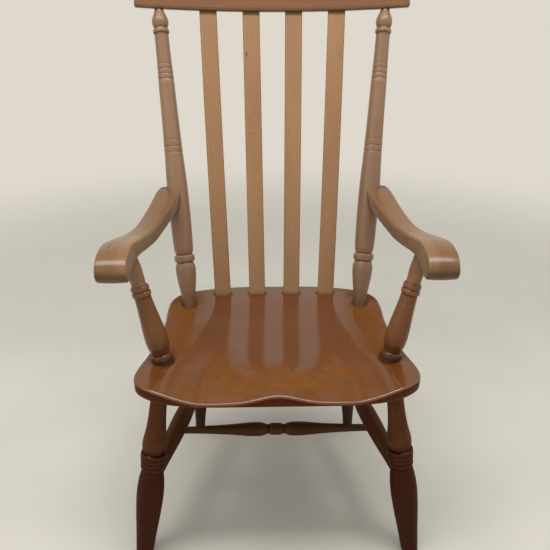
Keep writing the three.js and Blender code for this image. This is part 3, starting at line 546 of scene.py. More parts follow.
def makeTurnOnLathe():
    # swings an outline (radius, distance along) round its axis and lays it along the piece
    tree, put, made = newTree("turnOnLathe", "GeometryNodeTree", {
        "Outline": "Geometry", "Facets": "Int", "Foot": "Vector", "Turn": "Vector",
        "Grain Start": "Vector", "Crisp Angle": "Float", "Wood": "Material"}, {"Piece": "Geometry"})
    line = addNode(tree, "GeometryNodeMeshToCurve", {0: put["Outline"]})["Curve"]
    spin = addNode(tree, "GeometryNodeCurvePrimitiveCircle", {
        "Resolution": put["Facets"], "Radius": turningLook["hub"] * mm})["Curve"]
    body = addNode(tree, "GeometryNodeCurveToMesh", {"Curve": spin, "Profile Curve": line})[0]
    body = addNode(tree, "GeometryNodeMergeByDistance", {
        "Geometry": body, "Distance": turningLook["merge"] * mm})[0]
    where = addNode(tree, "GeometryNodeInputPosition", {})[0]
    grain = vectorNode(tree, "ADD", where, put["Grain Start"])
    body = storeNode(tree, body, "grain", grain, "FLOAT_VECTOR")
    turn = addNode(tree, "FunctionNodeEulerToRotation", {0: put["Turn"]})[0]
    laid = addNode(tree, "GeometryNodeTransform", {
        "Geometry": body, "Translation": put["Foot"], "Rotation": turn})[0]
    closeTree(tree, laid, put, made)
    return tree


turnOnLathe = makeTurnOnLathe()


def turningLine(shape, span, swell):
    # points of distance along and radius, from smooth runs and half-round beads
    line = []
    for part in shape:
        if part[0] == "bead":
            start, end, crown, root = part[1:]
            middle, half = (start + end) / 2, (end - start) / 2
            root = crown - (crown - root) * turningLook["grooveShare"]
            for step in range(turningLook["beadSteps"] + 1):
                turn = math.pi * step / turningLook["beadSteps"]
                width = root + (crown - root) * math.sin(turn) ** turningLook["beadFullness"]
                line.append(((middle - half * math.cos(turn)) * span, width * swell / 2))
        else:
            table = part[1]
            for (start, _), (end, _) in zip(table, table[1:]):
                for step in range(turningLook["curveSteps"]):
                    share = start + (end - start) * step / turningLook["curveSteps"]
                    line.append((share * span, follow(table, share) * swell / 2))
            line.append((table[-1][0] * span, table[-1][1] * swell / 2))
    return line


def storeMasks(mesh, masks):
    for label, values in masks.items():
        mesh.attributes.new(label, "FLOAT", "POINT").data.foreach_set("value", values)


def outlineMesh(name, line, lighterFrom, darkUpTo):
    # the outline as a chain of edges: rubbed where it stands proud, lighter from its given height up
    # (painted light on the front legs), dark in its grooves, and darker at its foot (painted shade)
    mesh = bpy.data.meshes.new(name)
    points = [(0, line[0][0]), *((radius, along) for along, radius in line), (0, line[-1][0])]
    links = [(i, i + 1) for i in range(len(points) - 1)]
    mesh.from_pydata([(r * mm, a * mm, 0) for r, a in points], links, [])
    masks = {"wearAndPaintedLight": [], "grimeAndPaintedShade": []}
    for radius, along in points:
        near = [r for r, a in points[1:-1] if abs(a - along) < turningLook["reach"]]
        proud = radius - sum(near) / max(len(near), 1)
        lighter = eased(along, lighterFrom, lighterFrom + turningLook["lighterOver"]) if lighterFrom else 0
        dark = turningLook["darkFoot"] * (1 - eased(along, 0, darkUpTo)) if darkUpTo else 0
        masks["wearAndPaintedLight"].append(max(min(proud / turningLook["rubAt"], 1), lighter))
        masks["grimeAndPaintedShade"].append(min(max(-proud / turningLook["grimeAt"], dark), 1))
    storeMasks(mesh, masks)
    return mesh


def turnPiece(name, node, wood, low, high, line, facets=turningLook["facets"], lighterFrom=0, darkUpTo=0):
    axis = (high - low).normalized()
    turn = Vector((0, 0, -1)).rotation_difference(axis).to_euler()
    seed = sum(ord(letter) * (i + 1) for i, letter in enumerate(node)) % 97
    piece = runTree(name, outlineMesh(name + "Outline", line, lighterFrom, darkUpTo), turnOnLathe, {
        "Facets": facets, "Foot": place(low), "Turn": turn, "Wood": woods[wood],
        "Grain Start": Vector([seed * step for step in turningLook["grainSteps"]]),
        "Crisp Angle": turningLook["crispAngle"]})
    settle(piece, node)
    return piece


def turnBetween(name, node, wood, ends, look, below, above, footRadius=None):
    # a turning that runs past its ends, below into one socket and above into the other
    low, high = ends
    span = (high - low).length
    line = turningLine(look["shape"], span, look["swell"])
    line.insert(0, (-below, footRadius or line[0][1]))
    line.append((span + above, line[-1][1]))
    return turnPiece(name, node, wood, low, high, line, lighterFrom=span * look.get("lighterFrom", 0),
                     darkUpTo=look.get("darkUpTo", 0))


def tableOf(look):
    # the whole turning as one table of shares
    pairs = []
    for part in look["shape"]:
        if part[0] == "bead":
            start, end, crown, root = part[1:]
            pairs += [(start, root), ((start + end) / 2, crown), (end, root)]
        else:
            pairs += part[1]
    return pairs


def radiusAt(look, share):
    return look["swell"] * follow(tableOf(look), share) / 2


# legs

frontLegLook = {
    "swell": 54.5, "sideInset": 42, "frontInset": 78, "splayOut": 61, "splayForward": 50, "socket": 26,
    # from here up the leg takes its rub colour: painted light, the upper leg lit more from above
    "lighterFrom": 0.66,
    "shape": [
        ("run", [(0, 0.63), (0.08, 0.71), (0.16, 0.79), (0.26, 0.91), (0.33, 0.97), (0.39, 1),
                 (0.45, 0.975), (0.5, 0.9), (0.54, 0.8), (0.557, 0.76)]),
        ("bead", 0.562, 0.583, 0.88, 0.8), ("bead", 0.586, 0.608, 0.9, 0.8),
        ("bead", 0.612, 0.651, 0.94, 0.8),
        ("run", [(0.656, 0.77), (0.668, 0.83), (0.692, 0.885), (0.725, 0.85), (0.76, 0.76),
                 (0.8, 0.685), (0.86, 0.62), (1, 0.56)]),
    ],
}
rearLegLook = {
    "swell": 44, "sideInset": 97, "backInset": 108, "splayOut": 35, "splayBack": 103, "socket": 26,
    "shape": [("run", [(0, 0.56), (0.12, 0.61), (0.25, 0.74), (0.38, 0.91), (0.48, 1), (0.58, 0.98),
                       (0.7, 0.88), (0.85, 0.76), (1, 0.69)])],
}
# height of each low ring and how far it is drawn in, as shares of the rounding
footLook = {"rounding": 1.6, "rings": [(0, 1), (0.3, 0.35), (1, 0)], "tolerance": 0.002}


def frontLegAxis(side):
    x = halfSeat - frontLegLook["sideInset"]
    y = frontLegLook["frontInset"] - seatLook["depth"]
    return (Vector((side * (x + frontLegLook["splayOut"]), y - frontLegLook["splayForward"], 0)),
            Vector((side * x, y, underside)))


def rearLegAxis(side):
    x = halfSeat - rearLegLook["sideInset"]
    y = -rearLegLook["backInset"]
    return (Vector((side * (x + rearLegLook["splayOut"]), y + rearLegLook["splayBack"], 0)),
            Vector((side * x, y, underside)))


def levelFoot(piece):
    # cuts the splayed foot level with the floor and draws its lowest rings in a little
    rounding = footLook["rounding"] * mm
    body = bmesh.new()
    body.from_mesh(piece.data)
    for height, _ in reversed(footLook["rings"]):
        everything = body.verts[:] + body.edges[:] + body.faces[:]
        cut = bmesh.ops.bisect_plane(body, geom=everything, plane_co=(0, 0, height * rounding),
                                     plane_no=(0, 0, -1), clear_outer=height == 0)
    rim = [e for e in cut["geom_cut"] if isinstance(e, bmesh.types.BMEdge)]
    sole = bmesh.ops.contextual_create(body, geom=rim)["faces"]
    middle = sum((v.co for v in sole[0].verts), Vector()) / len(sole[0].verts)
    for height, draw in footLook["rings"]:
        for vert in body.verts:
            if abs(vert.co.z - height * rounding) < footLook["tolerance"] * mm:
                inward = (middle - vert.co) * Vector((1, 1, 0))
                vert.co += inward.normalized() * rounding * draw
    bmesh.ops.triangulate(body, faces=sole)
    bmesh.ops.recalc_face_normals(body, faces=body.faces[:])
    body.to_mesh(piece.data)
    body.free()


for hand, side in handed.items():
    for name, node, wood, axis, look in (
            ("frontLeg_", "leg_front_", "frontLegWood", frontLegAxis(side), frontLegLook),
            ("rearLeg_", "leg_rear_", "rearLegWood", rearLegAxis(side), rearLegLook)):
        levelFoot(turnBetween(name + hand, node + hand, wood, axis, look, look["swell"] / 2, look["socket"]))
print("legs turned")


# stretchers

sideStretcherLook = {
    "frontHeight": 181, "rearHeight": 209, "swell": 40, "socket": 19,
    "shape": [("run", [(0, 0.68), (0.09, 0.69), (0.18, 0.75), (0.29, 0.86), (0.4, 0.95), (0.52, 1),
                       (0.64, 0.96), (0.76, 0.82), (0.87, 0.6), (0.93, 0.46), (1, 0.44)])],
}
crossStretcherLook = {
    "place": 0.46, "swell": 31, "socket": 14,
    "shape": [
        ("run", [(0, 0.5), (0.06, 0.5), (0.15, 0.57), (0.27, 0.75), (0.35, 0.95), (0.39, 1),
                 (0.43, 0.93), (0.458, 0.66)]),
        ("bead", 0.468, 0.532, 0.86, 0.62),
        ("run", [(0.542, 0.66), (0.57, 0.93), (0.61, 1), (0.65, 0.95), (0.73, 0.75), (0.85, 0.57),
                 (0.94, 0.5), (1, 0.5)]),
    ],
}


def stretcherAxis(side):
    frontLow, frontHigh = frontLegAxis(side)
    rearLow, rearHigh = rearLegAxis(side)
    return (frontLow.lerp(frontHigh, sideStretcherLook["frontHeight"] / underside),
            rearLow.lerp(rearHigh, sideStretcherLook["rearHeight"] / underside))


def makeStretcher(name, node, ends, radii, look):
    # ends lie on the axes of what carries the stretcher, which has these radii there
    axis = (ends[1] - ends[0]).normalized()
    start = ends[0] + axis * (radii[0] - look["socket"])
    end = ends[1] - axis * (radii[1] - look["socket"])
    turnPiece(name, node, "stretcherWood", start, end,
              turningLine(look["shape"], (end - start).length, look["swell"]))


legRadii = (radiusAt(frontLegLook, sideStretcherLook["frontHeight"] / underside),
            radiusAt(rearLegLook, sideStretcherLook["rearHeight"] / underside))
for hand, side in handed.items():
    makeStretcher("sideStretcher_" + hand, "side_stretcher_" + hand, stretcherAxis(side), legRadii,
                  sideStretcherLook)
crossEnds = [front.lerp(rear, crossStretcherLook["place"])
             for front, rear in map(stretcherAxis, handed.values())]
makeStretcher("crossStretcher", "cross_stretcher", crossEnds,
              [radiusAt(sideStretcherLook, crossStretcherLook["place"])] * 2, crossStretcherLook)
print("stretchers turned")


# back posts

postLook = {
    "swell": 46, "sideInset": 72, "backInset": 87, "seatSocket": 27, "crestSocket": 30,
    # the post darkens towards its foot: painted shade where it meets the seat
    "footShare": 0.31, "darkUpTo": 42,
    "shape": [
        ("run", [(0, 0.61), (0.03, 0.66), (0.075, 0.85), (0.113, 0.965), (0.132, 0.965),
                 (0.146, 0.87), (0.151, 0.8)]),
        ("bead", 0.154, 0.176, 0.985, 0.8),
        ("run", [(0.179, 0.78), (0.184, 0.84), (0.2, 0.92), (0.26, 0.975), (0.34, 1),
                 (0.42, 0.975), (0.49, 0.9), (0.524, 0.862)]),
        ("bead", 0.528, 0.546, 0.86, 0.8), ("bead", 0.549, 0.567, 0.85, 0.79),
        ("run", [(0.571, 0.83), (0.66, 0.775), (0.765, 0.735)]),
        ("bead", 0.769, 0.783, 0.73, 0.67), ("bead", 0.786, 0.8, 0.71, 0.655),
        ("bead", 0.803, 0.817, 0.7, 0.64),
        ("run", [(0.822, 0.675), (0.87, 0.655), (0.913, 0.645)]),
        ("bead", 0.917, 0.929, 0.75, 0.6),
        ("run", [(0.934, 0.61), (0.941, 0.7), (0.951, 0.755), (0.962, 0.72), (0.976, 0.57),
                 (0.988, 0.43), (1, 0.38)]),
    ],
}


def postAxis(side):
    return (Vector((side * (halfSeat - postLook["sideInset"]), -postLook["backInset"], seatLook["top"])),
            crestPoint(side * (halfCrest - crestLook["postInset"]), 0.5, 0))


for hand, side in handed.items():
    turnBetween("backPost_" + hand, "back_post_" + hand, "postWood", postAxis(side), postLook,
                postLook["seatSocket"], postLook["crestSocket"])
print("posts turned")


# lofted pieces

curveSteps = 40


def closedCurve(points, count):
    # evenly spaced points on the smooth closed curve through the given ones
    total = len(points)
    fine = []
    for i in range(total):
        around = [Vector(points[(i + k) % total]) for k in (-1, 0, 1, 2)]
        d0, d1, d2 = [(b - a).length ** 0.5 for a, b in zip(around, around[1:])]
        p0, p1, p2, p3 = around
        m1 = ((p1 - p0) / d0 - (p2 - p0) / (d0 + d1) + (p2 - p1) / d1) * d1
        m2 = ((p2 - p1) / d1 - (p3 - p1) / (d1 + d2) + (p3 - p2) / d2) * d1
        for step in range(curveSteps):
            t = step / curveSteps
            fine.append(p1 + m1 * t + (p1 * -3 + p2 * 3 - m1 * 2 - m2) * t * t
                        + (p1 * 2 - p2 * 2 + m1 + m2) * t * t * t)
    fine.append(fine[0].copy())
    runs = [0.0]
    for a, b in zip(fine, fine[1:]):
        runs.append(runs[-1] + (b - a).length)
    spaced, k = [], 0
    for i in range(count):
        aim = runs[-1] * i / count
        while runs[k + 1] < aim:
            k += 1
        spaced.append(fine[k].lerp(fine[k + 1], (aim - runs[k]) / (runs[k + 1] - runs[k])))
    area = sum(a.x * b.y - b.x * a.y for a, b in zip(spaced, spaced[1:] + spaced[:1]))
    return spaced if area > 0 else spaced[::-1]


def insetBy(points, distance):
    # distance is one number, or one for each point
    moved = []
    for i, point in enumerate(points):
        along = (points[(i + 1) % len(points)] - points[i - 1]).normalized()
        step = distance[i] if isinstance(distance, list) else distance
        moved.append(Vector((point.x - along.y * step, point.y + along.x * step)))
    return moved


def loftPiece(name, node, wood, points, faces, grain, masks, crispAngle):
    mesh = bpy.data.meshes.new(name)
    mesh.from_pydata([place(p) for p in points], [], faces)
    body = bmesh.new()
    body.from_mesh(mesh)
    if body.calc_volume(signed=True) < 0:
        bmesh.ops.reverse_faces(body, faces=body.faces[:])
    for edge in body.edges:
        edge.smooth = len(edge.link_faces) == 2 and edge.calc_face_angle() < math.radians(crispAngle)
    for face in body.faces:
        face.smooth = True
    body.to_mesh(mesh)
    body.free()
    mesh.attributes.new("grain", "FLOAT_VECTOR", "POINT").data.foreach_set(
        "vector", [part for vector in grain for part in vector])
    storeMasks(mesh, masks)
    mesh.materials.append(woods[wood])
    settle(stand(name, mesh), node)


def ringFaces(ringCount, around):
    faces = []
    for r in range(ringCount - 1):
        for i in range(around):
            a, b = r * around + i, r * around + (i + 1) % around
            faces.append((a, b, b + around, a + around))
    return faces


# seat

saddleLook = {
    "inner": 0.42, "innerInFront": 0.5, "outer": 0.88, "widen": (0.55, 0.9), "deepen": (0.02, 0.6),
    "ridgeWidth": 0.19, "ridgeFlare": 0.33, "flare": (0.6, 0.95), "ridge": (0.7, 0.99),
    "ridgeKeep": 0.97, "cup": 0.6, "cupFade": (0.6, 0.85),
}
seatWear = {
    "noise": (0.018, 0.03, 0.3), "octaves": (0.7, 2.0, 5), "roughAlong": 0.035,
    "front": (0.69, 0.86), "frontEnd": (0.88, 0.97), "frontEndBy": 0.4, "frontSides": (0.6, 0.85),
    "frontLevel": 0.8, "frontRough": 0.5, "flank": 0.85, "flankRough": 0.05,
    "flankAcross": (0.5, 0.72), "flankEnd": (0.62, 0.8), "corner": 0.3,
    "cornerAcross": (0.72, 0.85), "cornerAlong": (0.7, 0.85), "ridge": 0.42, "ridgeWidth": 0.3,
    "ridgeAlong": (0.66, 0.76), "ridgeEnd": (0.9, 0.98), "patch": 0.55, "patchAcross": (0.42, 0.13),
    "patchAlong": (0.56, 0.65), "patchEnd": (0.74, 0.84), "footGrimeAndShade": 0.8, "footReach": 6,
    # the lower arris, front band, chamfer and underside are darkened: painted shade, most in front
    "edgeFront": (0.45, 0.9), "arrisWearAndHighlight": 0.5, "arrisHigh": 0.3, "arrisShade": 0.4,
    "arrisFrontShade": 0.4, "arrisShadeFrom": 0.7, "belowShade": 0.3,
}


def saddle(x, y):
    # how deep the seat is hollowed at a place
    look = saddleLook
    across = abs(x) / halfSeat
    along = -y / seatLook["depth"]
    inner = look["inner"] + (look["innerInFront"] - look["inner"]) * eased(along, *look["widen"])
    side = 1 - eased(across, inner, look["outer"])
    width = look["ridgeFlare"] + (look["ridgeWidth"] - look["ridgeFlare"]) * eased(along, *look["flare"])
    ridge = hump(across, 0, width) * eased(along, *look["ridge"])
    cup = look["cup"] * (across / look["outer"]) ** 2 * (1 - eased(along, *look["cupFade"]))
    depth = seatLook["dish"] * side * eased(along, *look["deepen"])
    return depth * (1 - look["ridgeKeep"] * ridge) * (1 - cup)


def seatRub(p):
    # the polish is worn off in front, on the flanks, at the corners and on the ridge
    wear = seatWear
    scale = wear["noise"]
    rough = noise.fractal((p.x * scale[0], p.y * scale[1], scale[2]), *wear["octaves"])
    along = -p.y / seatLook["depth"] + wear["roughAlong"] * rough
    across = abs(p.x) / halfSeat
    front = eased(along, *wear["front"]) * (1 - wear["frontEndBy"] * eased(along, *wear["frontEnd"]))
    front *= 1 - eased(across, *wear["frontSides"])
    flank = eased(across + wear["flankRough"] * rough, *wear["flankAcross"])
    flank *= wear["flank"] * (1 - eased(along, *wear["flankEnd"]))
    corner = wear["corner"] * eased(across, *wear["cornerAcross"]) * eased(along, *wear["cornerAlong"])
    ridge = wear["ridge"] * hump(across, 0, wear["ridgeWidth"])
    ridge *= eased(along, *wear["ridgeAlong"]) * (1 - eased(along, *wear["ridgeEnd"]))
    patch = wear["patch"] * hump(across, *wear["patchAcross"])
    patch *= eased(along, *wear["patchAlong"]) * (1 - eased(along, *wear["patchEnd"]))
    front *= wear["frontLevel"] + wear["frontRough"] * rough
    return min(max(front + flank + corner + ridge + patch, 0), 1)


def standingSpots():
    # where posts, supports and laths stand in the seat, each with its reach
    spots = [(Vector((side * (halfSeat - inset), y)), reach) for side in handed.values()
             for inset, y, reach in (
                 (postLook["sideInset"], -postLook["backInset"], postLook["swell"] * postLook["footShare"]),
                 (supportLook["sideInset"], supportLook["frontInset"] - seatLook["depth"],
                  supportLook["baseRing"] / 2))]
    for spot in lathLook["places"]:
        for part in lathLook["grimeAndShadeSpots"]:
            x = spot * lathLook["seatSpacing"] + part * lathLook["width"] / 2
            spots.append((Vector((x, -lathLook["backInset"])), lathLook["thickness"] / 2))
    return spots


def makeSeat():
    look, wear = seatLook, seatWear
    right = [Vector((a * halfSeat, -b * look["depth"])) for a, b in look["plan"]]
    left = [Vector((-p.x, p.y)) for p in right[1:-1]][::-1]
    outline = closedCurve(right + left, look["around"])
    inner = insetBy(outline, look["arris"])
    middle = Vector((0, -look["depth"] / 2))
    standing = standingSpots()
    points, wearAndPaintedLight, grimeAndPaintedShade = [], [], []

    def add(p, z, worn, dirtAndShade):
        points.append(Vector((p.x, p.y, z)))
        wearAndPaintedLight.append(worn)
        grimeAndPaintedShade.append(dirtAndShade)

    def onTop(p):
        # a dark ring round each post, support and lath: grime and painted shade
        gap = min((p - spot).length - reach for spot, reach in standing)
        dirtAndShade = wear["footGrimeAndShade"] * (1 - eased(gap, 0, wear["footReach"]))
        add(p, look["top"] - saddle(p.x, p.y), seatRub(p), dirtAndShade)

    onTop(middle)
    for ring in range(1, look["ringsOnTop"] + 1):
        for p in inner:
            onTop(middle.lerp(p, ring / look["ringsOnTop"]))
    deepest = look["edgeFace"] - look["arris"] - look["leastBand"]
    for step in range(1, look["arrisSteps"] + 1):
        share = step / look["arrisSteps"]
        drawn = insetBy(outline, look["arris"] * (1 - math.sin(quarter * share)))
        lower = look["arris"] * (1 - math.cos(quarter * share))
        for p, base in zip(drawn, inner):
            front = eased(-p.y / look["depth"], *wear["edgeFront"])
            fall = min(saddle(base.x, base.y), deepest)
            worn = wear["arrisHigh"] + (1 - wear["arrisHigh"]) * fall / deepest
            # the front arris is rubbed paler, which also paints part of its highlight
            worn *= wear["arrisWearAndHighlight"] * front * (1 - abs(share - 0.5))
            # the lower part of the arris is darkened, more in front: painted shade
            dirtAndShade = wear["arrisShade"] + wear["arrisFrontShade"] * front
            add(p, look["top"] - fall - lower, worn, dirtAndShade * eased(share, wear["arrisShadeFrom"], 1))
    # the band, chamfer and underside are darkened: painted shade
    rings = [(0, look["top"] - look["edgeFace"], ring) for ring in look["bandRings"]]
    rings += [(look["chamfer"], underside, ring) for ring in look["chamferRings"]]
    for inset, height, (further, up, worn, dirtAndShade, frontShade) in rings:
        lowest = insetBy(outline, inset + further)
        for p in lowest:
            front = eased(-p.y / look["depth"], *wear["edgeFront"])
            add(p, height + up, worn, dirtAndShade + frontShade * front)
    for ring in range(1, look["ringsBelow"]):
        for p in lowest:
            add(p.lerp(middle, ring / look["ringsBelow"]), underside, 0, wear["belowShade"])
    add(middle, underside, 0, wear["belowShade"])
    around = look["around"]
    faces = [tuple(v + 1 for v in face) for face in ringFaces((len(points) - 2) // around, around)]
    last = len(points) - 1
    for i in range(around):
        nextOne = (i + 1) % around
        faces.append((0, 1 + nextOne, 1 + i))
        faces.append((last, last - around + i, last - around + nextOne))
    # the grain runs across the seat, and its rings bend down into the hollow
    grain = [Vector(((p.z * look["ringBend"] + p.y) * mm, p.z * mm, p.x * mm)) for p in points]
    loftPiece("seatPlank", "seat", "seatElm", points, faces, grain, {"wearAndPaintedLight": wearAndPaintedLight, "grimeAndPaintedShade": grimeAndPaintedShade},
              look["crispAngle"])


makeSeat()
print("seat saddled")


# arms

armLook = {
    "rise": 248, "reach": 384, "drop": 52, "rearWidth": 55, "waistWidth": 43, "scrollWidth": 52,
    "rearOverlap": 11, "rearOffset": 18.5, "spread": 43.5, "rootShare": 0.28, "supportPlace": 0.7,
    "supportTop": 0.17, "around": 260, "arrisSteps": 7, "topSteps": 5, "crown": 1.2, "crispAngle": 50,
    "rearArris": 6.5, "scrollArris": 3.0, "arrisFade": (0.6, 0.86),
    "side": [(0, 0.98), (0.06, 1), (0.14, 0.925), (0.25, 0.793), (0.38, 0.673), (0.505, 0.633),
             (0.62, 0.69), (0.72, 0.83), (0.81, 0.945), (0.89, 0.96), (0.945, 0.865), (0.985, 0.65),
             (1, 0.38), (0.985, 0.14), (0.955, 0.02), (0.92, 0), (0.888, 0.05), (0.855, 0.14),
             (0.79, 0.22), (0.72, 0.18), (0.62, 0.08), (0.505, 0.01), (0.38, 0.05), (0.25, 0.175),
             (0.12, 0.3), (0.02, 0.37), (0, 0.4)],
    "plan": [(0, -0.12), (0.05, -0.03), (0.12, 0.02), (0.25, 0.17), (0.38, 0.34), (0.5, 0.48),
             (0.6, 0.66), (0.7, 0.87), (0.8, 1), (0.9, 1), (1, 0.98)],
    "waist": 0.5, "scroll": 0.8, "rearTaper": 0.12, "rearTaperKeep": 0.72,
    "grainAcross": 0.7, "held": (0.55, 0.8), "topHeight": (0.35, 0.6), "topEdge": (0, 0.8),
    "arrisWearAndHighlight": 0.55, "flatRub": 0.1, "rubUnheld": 0.35, "topRub": 0.42, "rearGrimeAndShade": (0.02, 0.09),
    # the lower front of the scroll is darkened: painted shade and a painted dark reflection
    "noseShade": 0.5, "noseAlong": (0.93, 0.98), "noseHeight": (0.35, 0.65),
}


def armRoot(side):
    # where the arm meets its post's axis
    low, high = postAxis(side)
    height = armLook["rise"] - armLook["drop"] * armLook["rootShare"]
    share = height / (high.z - low.z)
    return low.lerp(high, share), share


def armMiddle(side, along):
    root, _ = armRoot(side)
    out = armLook["rearOffset"] + armLook["spread"] * follow(armLook["plan"], along)
    return Vector((root.x + side * out, root.y + armLook["rearOverlap"] - armLook["reach"] * along))


def armWidth(along):
    look = armLook
    width = look["rearWidth"] + (look["waistWidth"] - look["rearWidth"]) * eased(along, 0, look["waist"])
    width += (look["scrollWidth"] - look["waistWidth"]) * eased(along, look["waist"], look["scroll"])
    rear = eased(along, -look["rearTaper"], look["rearTaper"])
    return width * (look["rearTaperKeep"] + (1 - look["rearTaperKeep"]) * rear)


def armHeight(share):
    return seatLook["top"] + armLook["rise"] - armLook["drop"] * (1 - share)


def stripFill(ring, offset):
    # closes a side outline with short strips from its upper to its lower edge
    count = len(ring)
    start = max(range(count), key=lambda i: ring[i].x)
    up, down, faces = start, (start - 1) % count, []
    while (up + 1) % count != down:
        nextUp, nextDown = (up + 1) % count, (down - 1) % count
        if ring[nextUp].x > ring[nextDown].x:
            faces.append((offset + up, offset + nextUp, offset + down))
            up = nextUp
        else:
            faces.append((offset + up, offset + nextDown, offset + down))
            down = nextDown
    return faces


def makeArm(hand, side):
    look = armLook
    outline = closedCurve([Vector((a * look["reach"], h * look["drop"])) for a, h in look["side"]],
                          look["around"])
    arris = [look["rearArris"] + (look["scrollArris"] - look["rearArris"])
             * eased(p.x / look["reach"], *look["arrisFade"]) for p in outline]
    turns = [quarter * step / look["arrisSteps"] for step in range(look["arrisSteps"] + 1)]
    layers = [(-1, turn) for turn in turns]
    layers += [(step / look["topSteps"] - 1, quarter) for step in range(1, look["topSteps"] * 2)]
    layers += [(1, turn) for turn in reversed(turns)]
    points, grain, wearAndPaintedLight, grimeAndPaintedShade = [], [], [], []
    for edge, turn in layers:
        flat = abs(edge) < 1
        drawn = [a * (1 - math.sin(turn)) + look["crown"] * edge * edge for a in arris]
        ring = insetBy(outline, drawn)
        if not points:
            firstRing = ring
        for p, roundness in zip(ring, arris):
            along, height = p.x / look["reach"], p.y / look["drop"]
            middle = armMiddle(side, along)
            out = side * edge * (armWidth(along) / 2 - roundness * (1 - math.cos(turn)))
            x = middle.x + out
            points.append(Vector((x, middle.y, armHeight(height))))
            grain.append(Vector((out * mm + side * look["grainAcross"], p.y * mm, p.x * mm + side)))
            held = eased(along, *look["held"])
            onTop = eased(height, *look["topHeight"]) * eased(-edge, *look["topEdge"])
            # the arrises are rubbed paler, which also paints part of their highlight
            onEdge = look["flatRub"] if flat else math.sin(turn * 2) * look["arrisWearAndHighlight"]
            onEdge *= look["rubUnheld"] + (1 - look["rubUnheld"]) * held
            wearAndPaintedLight.append(min(onEdge + look["topRub"] * onTop * held, 1))
            # darker low on the scroll's front: painted shade and a painted dark reflection
            nose = eased(along, *look["noseAlong"]) * (1 - eased(height, *look["noseHeight"]))
            # the rear end darkens where it meets the post: grime and painted shade
            grimeAndPaintedShade.append(1 - eased(along, *look["rearGrimeAndShade"]) + look["noseShade"] * nose)
    faces = ringFaces(len(layers), look["around"])
    faces += [tuple(reversed(f)) for f in stripFill(firstRing, 0)]
    faces += stripFill(firstRing, (len(layers) - 1) * look["around"])
    loftPiece("scrollArm_" + hand, "arm_" + hand, "armWood", points, faces, grain,
              {"wearAndPaintedLight": wearAndPaintedLight, "grimeAndPaintedShade": grimeAndPaintedShade}, look["crispAngle"])


for hand, side in handed.items():
    makeArm(hand, side)
print("arms shaped")


# arm supports

for hand, side in handed.items():
    top = armMiddle(side, armLook["supportPlace"])
    ends = (Vector((side * (halfSeat - supportLook["sideInset"]),
                    supportLook["frontInset"] - seatLook["depth"], seatLook["top"])),
            Vector((top.x, top.y, armHeight(armLook["supportTop"]))))
    footRadius = supportLook["baseRing"] / 2
    turnBetween("armSupport_" + hand, "arm_support_" + hand, "supportWood", ends, supportLook,
                footRadius, supportLook["armSocket"], footRadius)
print("arm supports turned")


# crest rail

def roundedSection(low, high, thickness, radius, look):
    # points of thickness and height round a bar with softened corners
    corners = [(radius, low + radius, 2), (thickness - radius, low + radius, 3),
               (thickness - radius, high - radius, 0), (radius, high - radius, 1)]
    points = []
    for k, (u, v, start) in enumerate(corners):
        for step in range(look["cornerSteps"] + 1):
            turn = quarter * (start + step / look["cornerSteps"])
            points.append((u + radius * math.cos(turn), v + radius * math.sin(turn)))
        u0, v0 = points[-1]
        nextU, nextV, nextStart = corners[(k + 1) % 4]
        runU = nextU + radius * math.cos(quarter * nextStart) - u0
        runV = nextV + radius * math.sin(quarter * nextStart) - v0
        count = look["sideSteps"] if k in (1, 3) else look["capSteps"]
        points += [(u0 + runU * s / count, v0 + runV * s / count) for s in range(1, count)]
    return points


def makeCrest():
    look = crestLook
    arris = look["arris"]
    flatHalf = halfCrest - arris
    stations = [(math.sin(quarter * step / look["stations"]) * flatHalf, 0.0)
                for step in range(-look["stations"], look["stations"] + 1)]
    turns = [quarter * step / look["endSteps"] for step in range(1, look["endSteps"] + 1)]
    ends = [(flatHalf + arris * math.sin(turn), arris * (1 - math.cos(turn))) for turn in turns]
    stations = [(-a, d) for a, d in reversed(ends)] + stations + ends
    points, grain, wearAndPaintedLight, grimeAndPaintedShade = [], [], [], []
    for across, drawn in stations:
        share = abs(across) / halfCrest
        low = look["height"] * follow(look["low"], share) + drawn
        high = look["height"] * follow(look["top"], share) - drawn
        radius = min(arris, (high - low) / look["leastSection"], look["thickness"] / look["leastSection"])
        for u, v in roundedSection(low, high, look["thickness"] - 2 * drawn, radius, look):
            u += drawn
            v -= look["undercut"] * (1 - u / look["thickness"]) * max(1 - (v - low) / look["height"] * 2, 0)
            points.append(crestPoint(across, u / look["thickness"], v))
            grain.append(Vector((v * mm, u * mm + look["grainDepth"], across * mm)))
            edge = min(max(1 - (v - low) / look["lowEdge"], 1 - (high - v) / look["highEdge"], 0), 1)
            wearAndPaintedLight.append(edge * (1 if v > look["height"] / 2 else look["lowRub"]))
            # darker along the lower edge: painted shade of the underside
            grimeAndPaintedShade.append(min(max(1 - (v - low) / look["grimeAndShadeReach"], 0), 1) * look["grimeAndPaintedShade"])
    around = len(points) // len(stations)
    faces = ringFaces(len(stations), around)
    faces.append(tuple(reversed(range(around))))
    faces.append(tuple(range(len(points) - around, len(points))))
    loftPiece("crestRail", "crest_rail", "crestWood", points, faces, grain,
              {"wearAndPaintedLight": wearAndPaintedLight, "grimeAndPaintedShade": grimeAndPaintedShade}, look["crispAngle"])


makeCrest()
print("crest rail bent")


# laths

